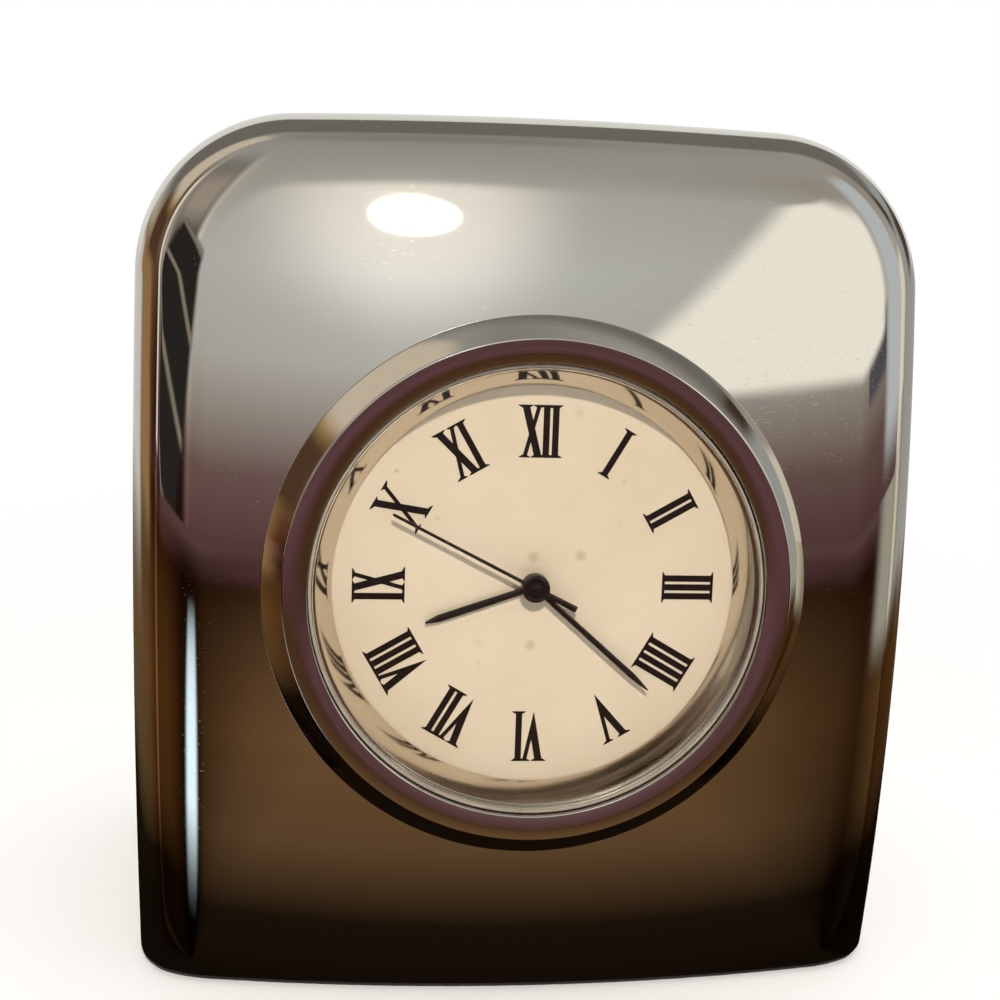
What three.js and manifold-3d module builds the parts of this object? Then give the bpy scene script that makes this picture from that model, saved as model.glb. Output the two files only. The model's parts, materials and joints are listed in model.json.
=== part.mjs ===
// A small mirror-plated desk clock: a domed, hollow cast body that leans back on a felted base, with a
// push-in quartz insert in a round bore. Millimetres, +Z up, the face looks to -Y, and the origin lies
// on the table under the middle of the base.
import * as THREE from "three";
import { mergeVertices } from "three/addons/utils/BufferGeometryUtils.js";
import Module from "manifold-3d";

const wasm = await Module();
wasm.setup();
const deg = Math.PI / 180;

// Body: the outline is drawn on the face, measured from the insert's centre
const bodyWidth = 54.1;
const sideBowRadius = 3000;
const topAboveInsert = 31.1;
const topArchRadius = 550;
const topCornerRadius = 10.8;
const insertHeight = 29.5;
const faceLean = 8 * deg;
const backLean = 3 * deg;
const baseDepth = 30;
const domeRadius = 150;
const shoulderWidth = 3;
const shoulderDrop = 0.52;
const rollRadius = 5;
const rollStart = 36 * deg;
const backRollRadius = 2.5;
const bodyWall = 2.6;
const cavityCorner = 1.2;
const boreDepth = 3.4;
const boreBossWall = 2;

// Base: the plate closes the hollow body from below, and the felt stands proud of the rim
const rimLift = 0.6;
const feltThickness = 1.5;
const basePlateThickness = 2;
const plateClearance = 0.15;
const bossRadius = 2.6;
const bossHeight = 7;
const bossBite = 0.6;
const baseScrewRadius = 0.9;
const baseScrewHeadRadius = 1.9;
const baseScrewHeadHeight = 1;
const baseScrewReach = 5;
const screwClearance = 0.1;

// Insert: radii and heights from the seat plane, where the bezel meets the body
const bezelDiameter = 36.5;
const bezelLip = 0.75;
const bezelEdge = 0.45;
const bevelWidth = 1.43;
const ridgeHeight = 2.02;
const bandWidth = 1.63;
const bandDish = 0.15;
const seatGap = 0.1;
const fitGap = 0.1;
const slimGap = 0.05;
const gripClearance = 0.08;
const gripThickness = 0.37;
const gripHeight = 2.5;
const skirtWall = 0.4;
const skirtDepth = 3;
const caseWall = 0.6;
const caseLedge = 0.9;
const gasketWidth = 0.22;
const gasketHeight = 0.9;
const lensThickness = 0.8;
const lensRecess = 0.37;
const rehautHeight = 1.8;
const rehautShelf = 0.2;
const rehautSlope = 1.17;
const rehautLip = 0.1;
const dialThickness = 0.4;
const backFlange = 0.7;
const backSpigot = 0.6;

// Hands: lengths from the arbor, and resting angles clockwise from twelve
const hourHandLength = 7.7;
const minuteHandLength = 10.6;
const secondsHandLength = 10.8;
const secondsTailLength = 3.1;
const hourHandAngle = 250.9 * deg;
const minuteHandAngle = 131.5 * deg;
const secondsHandAngle = 297 * deg;
const handThickness = 0.2;
const handSpacing = 0.1;
const handRootWidth = 0.4;
const handBroadWidth = 0.62;
const handBroadShare = 0.85;
const secondsWidth = 0.22;
const secondsTailWidth = 0.42;
const handHubRadius = 0.95;
const secondsBossHeight = 0.3;

// Gear train: tooth counts, modules, and the directions in which the arbors lie from the centre
const wheelThickness = 0.35;
const wheelGap = 0.15;
const toothAddendum = 0.75;
const toothDedendum = 1.1;
const toothRootShare = 0.29;
const toothTipShare = 0.08;
const rotorPinionTeeth = 6;
const intermediateWheelTeeth = 30;
const intermediatePinionTeeth = 6;
const secondsWheelTeeth = 36;
const secondsPinionTeeth = 6;
const thirdWheelTeeth = 45;
const thirdPinionTeeth = 6;
const centreWheelTeeth = 48;
const cannonPinionTeeth = 8;
const minuteWheelTeeth = 24;
const minutePinionTeeth = 8;
const hourWheelTeeth = 32;
const settingWheelTeeth = 20;
const centreModule = 0.17;
const secondsModule = 0.222;
const rotorModule = 0.16;
const hourModule = 0.16;
const thirdDirection = 90 * deg;
const motorDirection = 200 * deg;
const settingDirection = 0;
const secondsArborRadius = 0.2;
const pipeWall = 0.17;
const runningGap = 0.06;
const arborRadius = 0.25;
const pivotRadius = 0.2;
const pivotLength = 0.6;

// Movement plates, motor, circuit and cell
const mainPlateThickness = 0.85;
const bridgeThickness = 0.75;
const bridgeRadius = 12;
const pillarRadius = 1.1;
const pillarOrbitRadius = 10.6;
const pillarDirections = [30 * deg, 120 * deg, 290 * deg];
const bridgeScrewRadius = 0.45;
const bridgeScrewHeadRadius = 0.85;
const bridgeScrewHeadHeight = 0.4;
const bridgeScrewReach = 1.4;
const magnetRadius = 0.9;
const statorAirGap = 0.3;
const statorWidth = 3.7;
const statorLength = 13;
const statorThickness = 0.6;
const coilOffset = 3.7;
const coilRadius = 0.9;
const coilLength = 9;
const coreWidth = 1;
const coreThickness = 0.5;
const coreTab = 1.3;
const boardThickness = 0.35;
const boardChord = 1.6;
const crystalRadius = 0.75;
const crystalLength = 6;
const crystalSetback = 6;
const cellRadius = 3.4;
const cellHeight = 2.6;
const cellRimStep = 0.4;
const cellDirection = 292 * deg;
const cellOrbitRadius = 5.6;
const clipThickness = 0.25;
const clipWidth = 3;
const clipReach = 5.2;
const clipPostRadius = 0.9;

// Setting gear: the stem comes in from the side, below the bore's edge
const stemRadius = 0.45;
const stemGroove = 0.17;
const grooveDistance = 12;
const stemGrooveWidth = 0.5;
const stemPilotRadius = 0.3;
const stemPilotLength = 1.6;
const stemBlockLength = 1.2;
const stemBlockWidth = 1.8;
const blockDistance = 8.2;
const slidingPinionTeeth = 10;
const slidingPinionModule = 0.16;
const slidingPinionLength = 1.1;
const crownRadius = 1;
const crownLength = 0.75;
const crownFlutes = 16;
const crownFluteDepth = 0.1;
const leverWidth = 1.4;
const leverLength = 2.7;
const leverThickness = 0.4;

// How far a cut runs past the faces that it opens
const cutPast = 1;

// Facets
const ringSegments = 40;
const smallSegments = 16;
const arborSegments = 10;

// Radii and heights that follow from the fits
const bezelRadius = bezelDiameter / 2;
const boreRadius = bezelRadius - bezelLip;
const ridgeRadius = bezelRadius - bevelWidth;
const bandInnerRadius = ridgeRadius - bandWidth;
const gripOuter = boreRadius - gripClearance;
const gripInner = gripOuter - gripThickness;
const skirtOuter = gripInner - slimGap;
const skirtInner = skirtOuter - skirtWall;
const caseOuter = skirtInner - fitGap;
const caseInner = caseOuter - caseWall;
const ledgeInner = caseInner - caseLedge;
const plateRadius = caseInner - 2 * fitGap;
const gasketOuter = bandInnerRadius - slimGap;
const gasketInner = gasketOuter - gasketWidth;
const lensRadius = gasketInner - slimGap;
const rehautTopRadius = lensRadius - rehautShelf;
const dialOpening = rehautTopRadius - rehautSlope;
const bandInnerHeight = ridgeHeight - bandDish;
const lensTop = bandInnerHeight - lensRecess;
const lensBottom = lensTop - lensThickness;
const rehautTop = lensBottom - fitGap;
const dialTop = rehautTop - rehautHeight;
const rehautBottom = dialTop + fitGap;
const dialBottom = dialTop - dialThickness;
const caseTop = fitGap;
const bezelStep = caseTop + fitGap;

// Heights of the movement, layer by layer, from the dial to the back
const hourLayer = layerBelow(dialBottom);
const minuteLayer = layerBelow(hourLayer.low);
const plateTop = minuteLayer.low - wheelGap;
const plateBottom = plateTop - mainPlateThickness;
const centreLayer = layerBelow(plateBottom);
const thirdLayer = layerBelow(centreLayer.low);
const secondsLayer = layerBelow(thirdLayer.low);
const motorLayer = layerBelow(secondsLayer.low);
const bridgeTop = motorLayer.low - wheelGap;
const bridgeBottom = bridgeTop - bridgeThickness;
const boardTop = bridgeBottom - fitGap;
const boardBottom = boardTop - boardThickness;
const cellBottom = boardTop - cellHeight;
const clipTop = cellBottom - fitGap;
const clipBottom = clipTop - clipThickness;
const spigotTop = clipBottom - bridgeScrewHeadHeight - 2 * fitGap;
const caseBottom = spigotTop - backSpigot;
const stemHeight = (plateBottom + bridgeTop) / 2;
const hourHandLow = dialTop + 2 * handSpacing;
const minuteHandLow = hourHandLow + handThickness + handSpacing;
const secondsHandLow = minuteHandLow + handThickness + handSpacing;

// Pipes that run in each other at the centre: seconds arbor, cannon, hour pipe, dial hole
const cannonInner = secondsArborRadius + runningGap;
const cannonOuter = cannonInner + pipeWall;
const hourPipeInner = cannonOuter + runningGap;
const hourPipeOuter = hourPipeInner + pipeWall;
const dialHole = hourPipeOuter + 2 * runningGap;

// Arbor places: each distance is half the sum of the two pitch diameters
const thirdDistance = (centreModule * (centreWheelTeeth + thirdPinionTeeth)) / 2;
const thirdModule = (2 * thirdDistance) / (thirdWheelTeeth + secondsPinionTeeth);
const intermediateDistance = (secondsModule * (secondsWheelTeeth + intermediatePinionTeeth)) / 2;
const rotorDistance =
  intermediateDistance + (rotorModule * (intermediateWheelTeeth + rotorPinionTeeth)) / 2;
const minuteDistance = (hourModule * (hourWheelTeeth + minutePinionTeeth)) / 2;
const minuteModule = (2 * minuteDistance) / (minuteWheelTeeth + cannonPinionTeeth);
const settingDistance = minuteDistance + (minuteModule * (minuteWheelTeeth + settingWheelTeeth)) / 2;
const centreAt = [0, 0];
const thirdAt = polar(thirdDistance, thirdDirection);
const intermediateAt = polar(intermediateDistance, motorDirection);
const rotorAt = polar(rotorDistance, motorDirection);
const minuteAt = polar(minuteDistance, settingDirection);
const settingAt = polar(settingDistance, settingDirection);

// The face's own frame: x to the right, y up along the face, z out of it
const setback = -baseDepth / 2 + insertHeight * Math.tan(faceLean);
const lowestFace = domeHeight(0, -insertHeight / Math.cos(faceLean));
const faceY = setback + Math.cos(faceLean) * lowestFace;
const faceFrame = new THREE.Matrix4()
  .makeTranslation(0, faceY, insertHeight)
  .multiply(new THREE.Matrix4().makeRotationX(Math.PI / 2 - faceLean));

function layerBelow(height) {
  return { top: height - wheelGap, low: height - wheelGap - wheelThickness };
}

function polar(radius, angle) {
  return [radius * Math.cos(angle), radius * Math.sin(angle)];
}

// The dome is a shallow paraboloid that passes just under the bezel's edge.
function domeHeight(x, y) {
  return -seatGap + (bezelRadius ** 2 - x * x - y * y) / (2 * domeRadius);
}

// The back plane, as a height in the face's frame over a point of the outline.
function backHeight(y) {
  const slope = Math.tan(backLean);
  const sine = Math.sin(faceLean);
  const cosine = Math.cos(faceLean);
  const reach = baseDepth / 2 - insertHeight * slope - faceY;
  return (reach - (cosine * slope + sine) * y) / (sine * slope - cosine);
}

// Solids

function solidOf(geometry) {
  geometry.deleteAttribute("normal");
  geometry.deleteAttribute("uv");
  const merged = mergeVertices(geometry, 1e-4);
  const corners = merged.index.array;
  const kept = [];
  for (let i = 0; i < corners.length; i += 3) {
    const [a, b, c] = [corners[i], corners[i + 1], corners[i + 2]];
    if (a !== b && b !== c && c !== a) kept.push(a, b, c);
  }
  const vertProperties = new Float32Array(merged.attributes.position.array);
  const build = (order) =>
    new wasm.Manifold(new wasm.Mesh({ numProp: 3, vertProperties, triVerts: new Uint32Array(order) }));
  const made = build(kept);
  return made.volume() > 0 ? made : build(kept.reverse());
}

function join(first, ...others) {
  return others.reduce((whole, piece) => whole.add(piece), first);
}

function cut(first, ...others) {
  return others.reduce((whole, piece) => whole.subtract(piece), first);
}

// A cylinder along z between two heights.
function rod(radius, low, high, at = centreAt, segments = arborSegments) {
  const geometry = new THREE.CylinderGeometry(radius, radius, high - low, segments);
  return solidOf(geometry.rotateX(Math.PI / 2).translate(at[0], at[1], (low + high) / 2));
}

// A cylinder along x between two places.
function crossRod(radius, from, to, height, segments = arborSegments) {
  const geometry = new THREE.CylinderGeometry(radius, radius, to - from, segments);
  return solidOf(geometry.rotateZ(Math.PI / 2).translate((from + to) / 2, 0, height));
}

function box(low, high) {
  const size = high.map((value, axis) => value - low[axis]);
  const middle = high.map((value, axis) => (value + low[axis]) / 2);
  return solidOf(new THREE.BoxGeometry(...size).translate(...middle));
}

// A ring turned round z from a closed profile of [radius, height] corners.
function turned(profile, segments = ringSegments) {
  const points = [...profile, profile[0]].map(([radius, height]) => new THREE.Vector2(radius, height));
  return solidOf(new THREE.LatheGeometry(points, segments).rotateX(Math.PI / 2));
}

function prism(shape, low, high) {
  const geometry = new THREE.ExtrudeGeometry(shape, { depth: high - low, bevelEnabled: false });
  return solidOf(geometry.translate(0, 0, low));
}

// A gear with plain tapered teeth; one tooth is centred on the phase angle.
function gear(teeth, module, phase, low, high, at = centreAt) {
  const pitch = (2 * Math.PI) / teeth;
  const tip = (teeth * module) / 2 + toothAddendum * module;
  const root = (teeth * module) / 2 - toothDedendum * module;
  const corners = [];
  for (let tooth = 0; tooth < teeth; tooth++) {
    const middle = phase + tooth * pitch;
    for (const [radius, share] of [
      [root, -toothRootShare],
      [tip, -toothTipShare],
      [tip, toothTipShare],
      [root, toothRootShare],
    ]) {
      const [x, y] = polar(radius, middle + share * pitch);
      corners.push(new THREE.Vector2(at[0] + x, at[1] + y));
    }
  }
  return prism(new THREE.Shape(corners), low, high);
}

// The phase that puts a gap towards a neighbour whose own tooth points back at it, less a turn.
function gapTowards(direction, teeth) {
  return direction + Math.PI / teeth;
}

// Stitches rings of equal count into a closed skin, with a middle point at each end.
function loft(rings) {
  const count = rings[0].length;
  const middles = [rings[0], rings[rings.length - 1]].map((ring) =>
    ring.reduce((sum, point) => sum.add(point), new THREE.Vector3()).divideScalar(count),
  );
  const points = [...rings.flat(), ...middles];
  const index = [];
  const front = rings.length * count;
  const last = (rings.length - 1) * count;
  for (let i = 0; i < count; i++) {
    const next = (i + 1) % count;
    index.push(front, i, next, front + 1, last + next, last + i);
    for (let ring = 0; ring + 1 < rings.length; ring++) {
      const here = ring * count;
      const there = here + count;
      index.push(here + i, there + i, there + next, here + i, there + next, here + next);
    }
  }
  return new THREE.BufferGeometry().setFromPoints(points).setIndex(index);
}

// Body outline

// The outline with its outward normals: bowed sides, round top corners and an arched top. The foot runs
// below the base, where it is cut off.
function outline() {
  const sideSteps = 6;
  const cornerSteps = 5;
  const topSteps = 6;
  const footSteps = 8;
  const foot = -(insertHeight + baseDepth * Math.sin(faceLean)) / Math.cos(faceLean) - cutPast;
  const half = bodyWidth / 2;
  const side = (y) => half - (y * y) / (2 * sideBowRadius);
  const top = (x) => topAboveInsert - (x * x) / (2 * topArchRadius);
  let corner = { x: half - topCornerRadius, y: topAboveInsert - topCornerRadius };
  let from = 0;
  let to = Math.PI / 2;
  for (let round = 0; round < 12; round++) {
    const sideY = corner.y + topCornerRadius * Math.sin(from);
    const topX = corner.x + topCornerRadius * Math.cos(to);
    from = Math.atan(sideY / sideBowRadius);
    to = Math.PI / 2 - Math.atan(topX / topArchRadius);
    corner = {
      x: side(sideY) - topCornerRadius * Math.cos(from),
      y: top(topX) - topCornerRadius * Math.sin(to),
    };
  }
  const sideTop = corner.y + topCornerRadius * Math.sin(from);
  const topEnd = corner.x + topCornerRadius * Math.cos(to);
  const right = [];
  for (let i = 0; i < sideSteps; i++) {
    const y = THREE.MathUtils.lerp(foot, sideTop, i / sideSteps);
    right.push({ x: side(y), y, nx: 1, ny: 0 });
  }
  for (let i = 0; i < cornerSteps; i++) {
    const angle = THREE.MathUtils.lerp(from, to, i / cornerSteps);
    const [nx, ny] = polar(1, angle);
    right.push({ x: corner.x + topCornerRadius * nx, y: corner.y + topCornerRadius * ny, nx, ny });
  }
  const across = [];
  for (let i = 0; i <= topSteps; i++) {
    const x = THREE.MathUtils.lerp(topEnd, -topEnd, i / topSteps);
    const [ny, nx] = polar(1, Math.atan(x / topArchRadius));
    across.push({ x, y: top(x), nx, ny });
  }
  const left = right.map((point) => ({ ...point, x: -point.x, nx: -point.nx })).reverse();
  const under = [];
  for (let i = 1; i < footSteps; i++) {
    const share = 1 - (2 * i) / footSteps;
    under.push({ x: -side(foot) * share, y: foot, nx: -share, ny: 0 });
  }
  return [...right, ...across, ...left, ...under];
}

const outlinePoints = outline();
const rollInset = rollRadius * (1 - Math.sin(rollStart));

function insetPoints(inset) {
  return outlinePoints.map(({ x, y, nx, ny }) => ({ x: x - inset * nx, y: y - inset * ny }));
}

function circlePoints(radius) {
  return outlinePoints.map(({ x, y }) => {
    const length = Math.hypot(x, y);
    return { x: (x / length) * radius, y: (y / length) * radius };
  });
}

function between(inner, outer, share) {
  return inner.map((point, i) => ({
    x: THREE.MathUtils.lerp(point.x, outer[i].x, share),
    y: THREE.MathUtils.lerp(point.y, outer[i].y, share),
  }));
}

function raised(points, height) {
  return points.map((point, i) => new THREE.Vector3(point.x, point.y, height(point, i)));
}

// The whole outside: dome, shoulder, crease, rolled edge, straight sides, rounded back edge and flat back.
function bodyOutside() {
  const dome = ({ x, y }) => domeHeight(x, y);
  const seat = circlePoints(bezelRadius + seatGap);
  const shoulder = insetPoints(rollInset + shoulderWidth);
  const rings = [
    raised(circlePoints(boreRadius / 2), dome),
    raised(circlePoints(boreRadius - boreBossWall / 2), dome),
    raised(seat, dome),
    raised(between(seat, shoulder, 1 / 3), dome),
    raised(between(seat, shoulder, 2 / 3), dome),
    raised(shoulder, dome),
  ];
  for (const share of [0.5, 1]) {
    const points = insetPoints(rollInset + shoulderWidth * (1 - share));
    rings.push(raised(points, (point) => dome(point) - shoulderDrop * share * share));
  }
  const crease = rings[rings.length - 1];
  const rollSteps = 4;
  for (let step = 1; step <= rollSteps; step++) {
    const angle = THREE.MathUtils.lerp(rollStart, Math.PI / 2, step / rollSteps);
    const drop = rollRadius * (Math.cos(rollStart) - Math.cos(angle));
    const points = insetPoints(rollRadius * (1 - Math.sin(angle)));
    rings.push(raised(points, (point, i) => crease[i].z - drop));
  }
  for (const angle of [0, 30 * deg, 60 * deg, 90 * deg]) {
    const points = insetPoints(backRollRadius * (1 - Math.cos(angle)));
    rings.push(raised(points, ({ y }) => backHeight(y) + backRollRadius * (1 - Math.sin(angle))));
  }
  return loft(rings).applyMatrix4(faceFrame);
}

// The hollow inside, one wall away from the outside; a clearance shrinks it for what fits in it.
function bodyHollow(clearance) {
  const wall = bodyWall + clearance;
  const front = ({ x, y }) => domeHeight(x, y) - shoulderDrop - wall;
  const rings = [
    raised(circlePoints(boreRadius / 2), front),
    raised(between(circlePoints(boreRadius), insetPoints(wall + cavityCorner), 0.5), front),
    raised(insetPoints(wall + cavityCorner), front),
    raised(insetPoints(wall), (point) => front(point) - cavityCorner),
    raised(insetPoints(wall), ({ y }) => backHeight(y) + wall + cavityCorner),
    raised(insetPoints(wall + cavityCorner), ({ y }) => backHeight(y) + wall),
  ];
  return solidOf(loft(rings).applyMatrix4(faceFrame));
}

// A slab of the hollow between two heights above the table.
function hollowSlab(clearance, low, high) {
  const reach = bodyWidth + baseDepth;
  return bodyHollow(clearance).intersect(box([-reach, -reach, low], [reach, reach, high]));
}

const basePlateLow = feltThickness + fitGap;
const basePlateTop = basePlateLow + basePlateThickness;
const bossLow = basePlateTop + fitGap;
const bossX = bodyWidth / 2 - insertHeight ** 2 / (2 * sideBowRadius) - bodyWall - bossRadius + bossBite;

function bodyShell() {
  const reach = bodyWidth + baseDepth;
  const below = box([-reach, -reach, -reach], [reach, reach, rimLift]);
  const inFace = (solid) => solid.transform(faceFrame.elements);
  const boss = inFace(rod(boreRadius + boreBossWall, -boreDepth, -boreDepth / 2, centreAt, ringSegments));
  const bore = inFace(rod(boreRadius, -2 * boreDepth, ridgeHeight, centreAt, ringSegments));
  const boreClear = inFace(rod(boreRadius, -boreDepth, 0, centreAt, ringSegments));
  const shell = cut(solidOf(bodyOutside()), bodyHollow(0), below);
  const sockets = [-bossX, bossX].map((x) =>
    cut(
      rod(bossRadius, bossLow, bossLow + bossHeight, [x, 0], smallSegments),
      rod(baseScrewRadius + screwClearance, bossLow - cutPast, bossLow + baseScrewReach, [x, 0]),
    ),
  );
  return cut(join(shell, cut(boss, boreClear), ...sockets), bore);
}

function basePlate() {
  const headDepth = baseScrewHeadHeight + screwClearance;
  const holes = [-bossX, bossX].flatMap((x) => [
    rod(baseScrewRadius + screwClearance, 0, bossLow, [x, 0]),
    rod(baseScrewHeadRadius + screwClearance, 0, basePlateLow + headDepth, [x, 0], smallSegments),
  ]);
  return cut(hollowSlab(plateClearance, basePlateLow, basePlateTop), ...holes);
}

function baseScrew(x) {
  const headTop = basePlateLow + baseScrewHeadHeight;
  return join(
    rod(baseScrewHeadRadius, basePlateLow, headTop, [x, 0], smallSegments),
    rod(baseScrewRadius, headTop - fitGap, bossLow + baseScrewReach - 2 * fitGap, [x, 0]),
  );
}

// Insert shell

function bezelRing() {
  return turned([
    [bezelRadius, 0],
    [bezelRadius, bezelEdge],
    [ridgeRadius, ridgeHeight],
    [bandInnerRadius, bandInnerHeight],
    [bandInnerRadius, bezelStep],
    [skirtInner, bezelStep],
    [skirtInner, -skirtDepth],
    [skirtOuter, -skirtDepth],
    [skirtOuter, 0],
  ]);
}

function band(inner, outer, low, high) {
  return turned([
    [inner, low],
    [outer, low],
    [outer, high],
    [inner, high],
  ]);
}

function rehautRing() {
  return turned([
    [dialOpening, rehautBottom],
    [caseInner - fitGap, rehautBottom],
    [caseInner - fitGap, caseTop - fitGap],
    [bandInnerRadius - fitGap, caseTop - fitGap],
    [bandInnerRadius - fitGap, rehautTop],
    [rehautTopRadius, rehautTop],
    [dialOpening, rehautBottom + rehautLip],
  ]);
}

function insertCase() {
  const ledge = plateBottom - fitGap;
  const cup = turned([
    [caseInner, caseTop],
    [caseInner, ledge],
    [ledgeInner, ledge],
    [ledgeInner, caseBottom],
    [caseOuter, caseBottom],
    [caseOuter, caseTop],
  ]);
  return cut(cup, crossRod(stemRadius + runningGap, ledgeInner - cutPast, caseOuter + cutPast, stemHeight));
}

function caseBack() {
  const flangeTop = caseBottom - fitGap;
  return join(
    rod(caseOuter, flangeTop - backFlange, flangeTop, centreAt, ringSegments),
    rod(ledgeInner - fitGap, flangeTop - backFlange / 2, spigotTop, centreAt, ringSegments),
  );
}

// Hands

// A slim hand that broadens towards its tip and ends in a point, with a round hub on its pipe.
function hand(length, angle, low, pipeRadius) {
  const blade = new THREE.Shape();
  blade.moveTo(-handRootWidth / 2, 0);
  blade.lineTo(-handBroadWidth / 2, length * handBroadShare);
  blade.lineTo(0, length);
  blade.lineTo(handBroadWidth / 2, length * handBroadShare);
  blade.lineTo(handRootWidth / 2, 0);
  const high = low + handThickness;
  const whole = join(
    prism(blade, low, high).rotate([0, 0, -angle / deg]),
    rod(handHubRadius, low, high, centreAt, smallSegments),
  );
  return cut(whole, rod(pipeRadius + slimGap, low - cutPast, high + cutPast));
}

function secondsHand() {
  const needle = new THREE.Shape();
  needle.moveTo(-secondsTailWidth / 2, -secondsTailLength);
  needle.lineTo(-secondsTailWidth / 2, -handHubRadius / 2);
  needle.lineTo(-secondsWidth / 2, 0);
  needle.lineTo(-secondsWidth / 4, secondsHandLength);
  needle.lineTo(secondsWidth / 4, secondsHandLength);
  needle.lineTo(secondsWidth / 2, 0);
  needle.lineTo(secondsTailWidth / 2, -handHubRadius / 2);
  needle.lineTo(secondsTailWidth / 2, -secondsTailLength);
  const high = secondsHandLow + handThickness;
  const whole = join(
    prism(needle, secondsHandLow, high).rotate([0, 0, -secondsHandAngle / deg]),
    rod(handHubRadius, secondsHandLow, secondsHandLow + secondsBossHeight, centreAt, smallSegments),
  );
  return cut(whole, rod(secondsArborRadius + slimGap, secondsHandLow - cutPast, secondsHandLow + cutPast));
}

// Wheels: each has its arbor and pinion in one piece

function hourWheel() {
  const toothed = gear(hourWheelTeeth, hourModule, settingDirection, hourLayer.low, hourLayer.top);
  const pipe = rod(hourPipeOuter, hourLayer.low, hourHandLow + handThickness + slimGap);
  return cut(join(toothed, pipe), rod(hourPipeInner, hourLayer.low - cutPast, lensBottom));
}

function minuteWheel() {
  const phase = gapTowards(settingDirection + Math.PI, minuteWheelTeeth);
  const pinionPhase = gapTowards(settingDirection + Math.PI, minutePinionTeeth);
  return join(
    gear(minuteWheelTeeth, minuteModule, phase, minuteLayer.low, minuteLayer.top, minuteAt),
    gear(minutePinionTeeth, hourModule, pinionPhase, minuteLayer.low, hourLayer.top, minuteAt),
    rod(pivotRadius, plateTop - pivotLength, minuteLayer.top, minuteAt),
  );
}

function settingWheel() {
  const minutePitch = (2 * Math.PI) / minuteWheelTeeth;
  const start = gapTowards(settingDirection + Math.PI, minuteWheelTeeth) - settingDirection;
  const offset = start - Math.round(start / minutePitch) * minutePitch;
  const back = settingDirection + Math.PI - (offset * minuteWheelTeeth) / settingWheelTeeth;
  return join(
    gear(
      settingWheelTeeth,
      minuteModule,
      gapTowards(back, settingWheelTeeth),
      minuteLayer.low,
      minuteLayer.top,
      settingAt,
    ),
    rod(pivotRadius, plateTop - pivotLength, minuteLayer.top, settingAt),
  );
}

function cannonPinion() {
  const low = centreLayer.low;
  const toothed = gear(cannonPinionTeeth, minuteModule, settingDirection, minuteLayer.low, minuteLayer.top);
  const pipe = rod(cannonOuter, low, minuteHandLow + handThickness + slimGap);
  return cut(join(toothed, pipe), rod(cannonInner, low - cutPast, lensBottom));
}

function centreWheel() {
  const toothed = gear(centreWheelTeeth, centreModule, thirdDirection, centreLayer.low, centreLayer.top);
  return cut(toothed, rod(cannonOuter + runningGap, centreLayer.low - cutPast, centreLayer.top + cutPast));
}

function thirdWheel() {
  const towards = thirdDirection + Math.PI;
  const pinionPhase = gapTowards(towards, thirdPinionTeeth);
  const wheelPhase = gapTowards(towards, thirdWheelTeeth);
  return join(
    gear(thirdPinionTeeth, centreModule, pinionPhase, thirdLayer.low, centreLayer.top, thirdAt),
    gear(thirdWheelTeeth, thirdModule, wheelPhase, thirdLayer.low, thirdLayer.top, thirdAt),
    rod(arborRadius, bridgeTop + wheelGap, thirdLayer.low + wheelGap, thirdAt),
    rod(pivotRadius, bridgeTop - pivotLength, plateBottom + pivotLength, thirdAt),
  );
}

function secondsWheel() {
  return join(
    gear(secondsPinionTeeth, thirdModule, thirdDirection, secondsLayer.low, thirdLayer.top),
    gear(secondsWheelTeeth, secondsModule, motorDirection, secondsLayer.low, secondsLayer.top),
    rod(arborRadius, bridgeTop + wheelGap, secondsLayer.low + wheelGap),
    rod(secondsArborRadius, bridgeTop - pivotLength, secondsHandLow + secondsBossHeight + slimGap),
  );
}

function intermediateWheel() {
  const towards = motorDirection + Math.PI;
  const pinionPhase = gapTowards(towards, intermediatePinionTeeth);
  const { low, top } = motorLayer;
  return join(
    gear(intermediatePinionTeeth, secondsModule, pinionPhase, low, secondsLayer.top, intermediateAt),
    gear(intermediateWheelTeeth, rotorModule, motorDirection, low, top, intermediateAt),
    rod(arborRadius, secondsLayer.low, plateBottom - wheelGap, intermediateAt),
    rod(pivotRadius, bridgeTop - pivotLength, plateBottom + pivotLength, intermediateAt),
  );
}

function rotor() {
  const phase = gapTowards(motorDirection + Math.PI, rotorPinionTeeth);
  return join(
    gear(rotorPinionTeeth, rotorModule, phase, motorLayer.low, motorLayer.top, rotorAt),
    rod(magnetRadius, thirdLayer.low, centreLayer.top, rotorAt, smallSegments),
    rod(arborRadius, motorLayer.low, thirdLayer.low + wheelGap, rotorAt),
    rod(pivotRadius, bridgeTop - pivotLength, plateBottom + pivotLength, rotorAt),
  );
}

// Movement plates

const pillarPlaces = pillarDirections.map((direction) => polar(pillarOrbitRadius, direction));
const clipPostAt = polar(cellOrbitRadius - cellRadius - clipPostRadius - fitGap, cellDirection);

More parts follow.
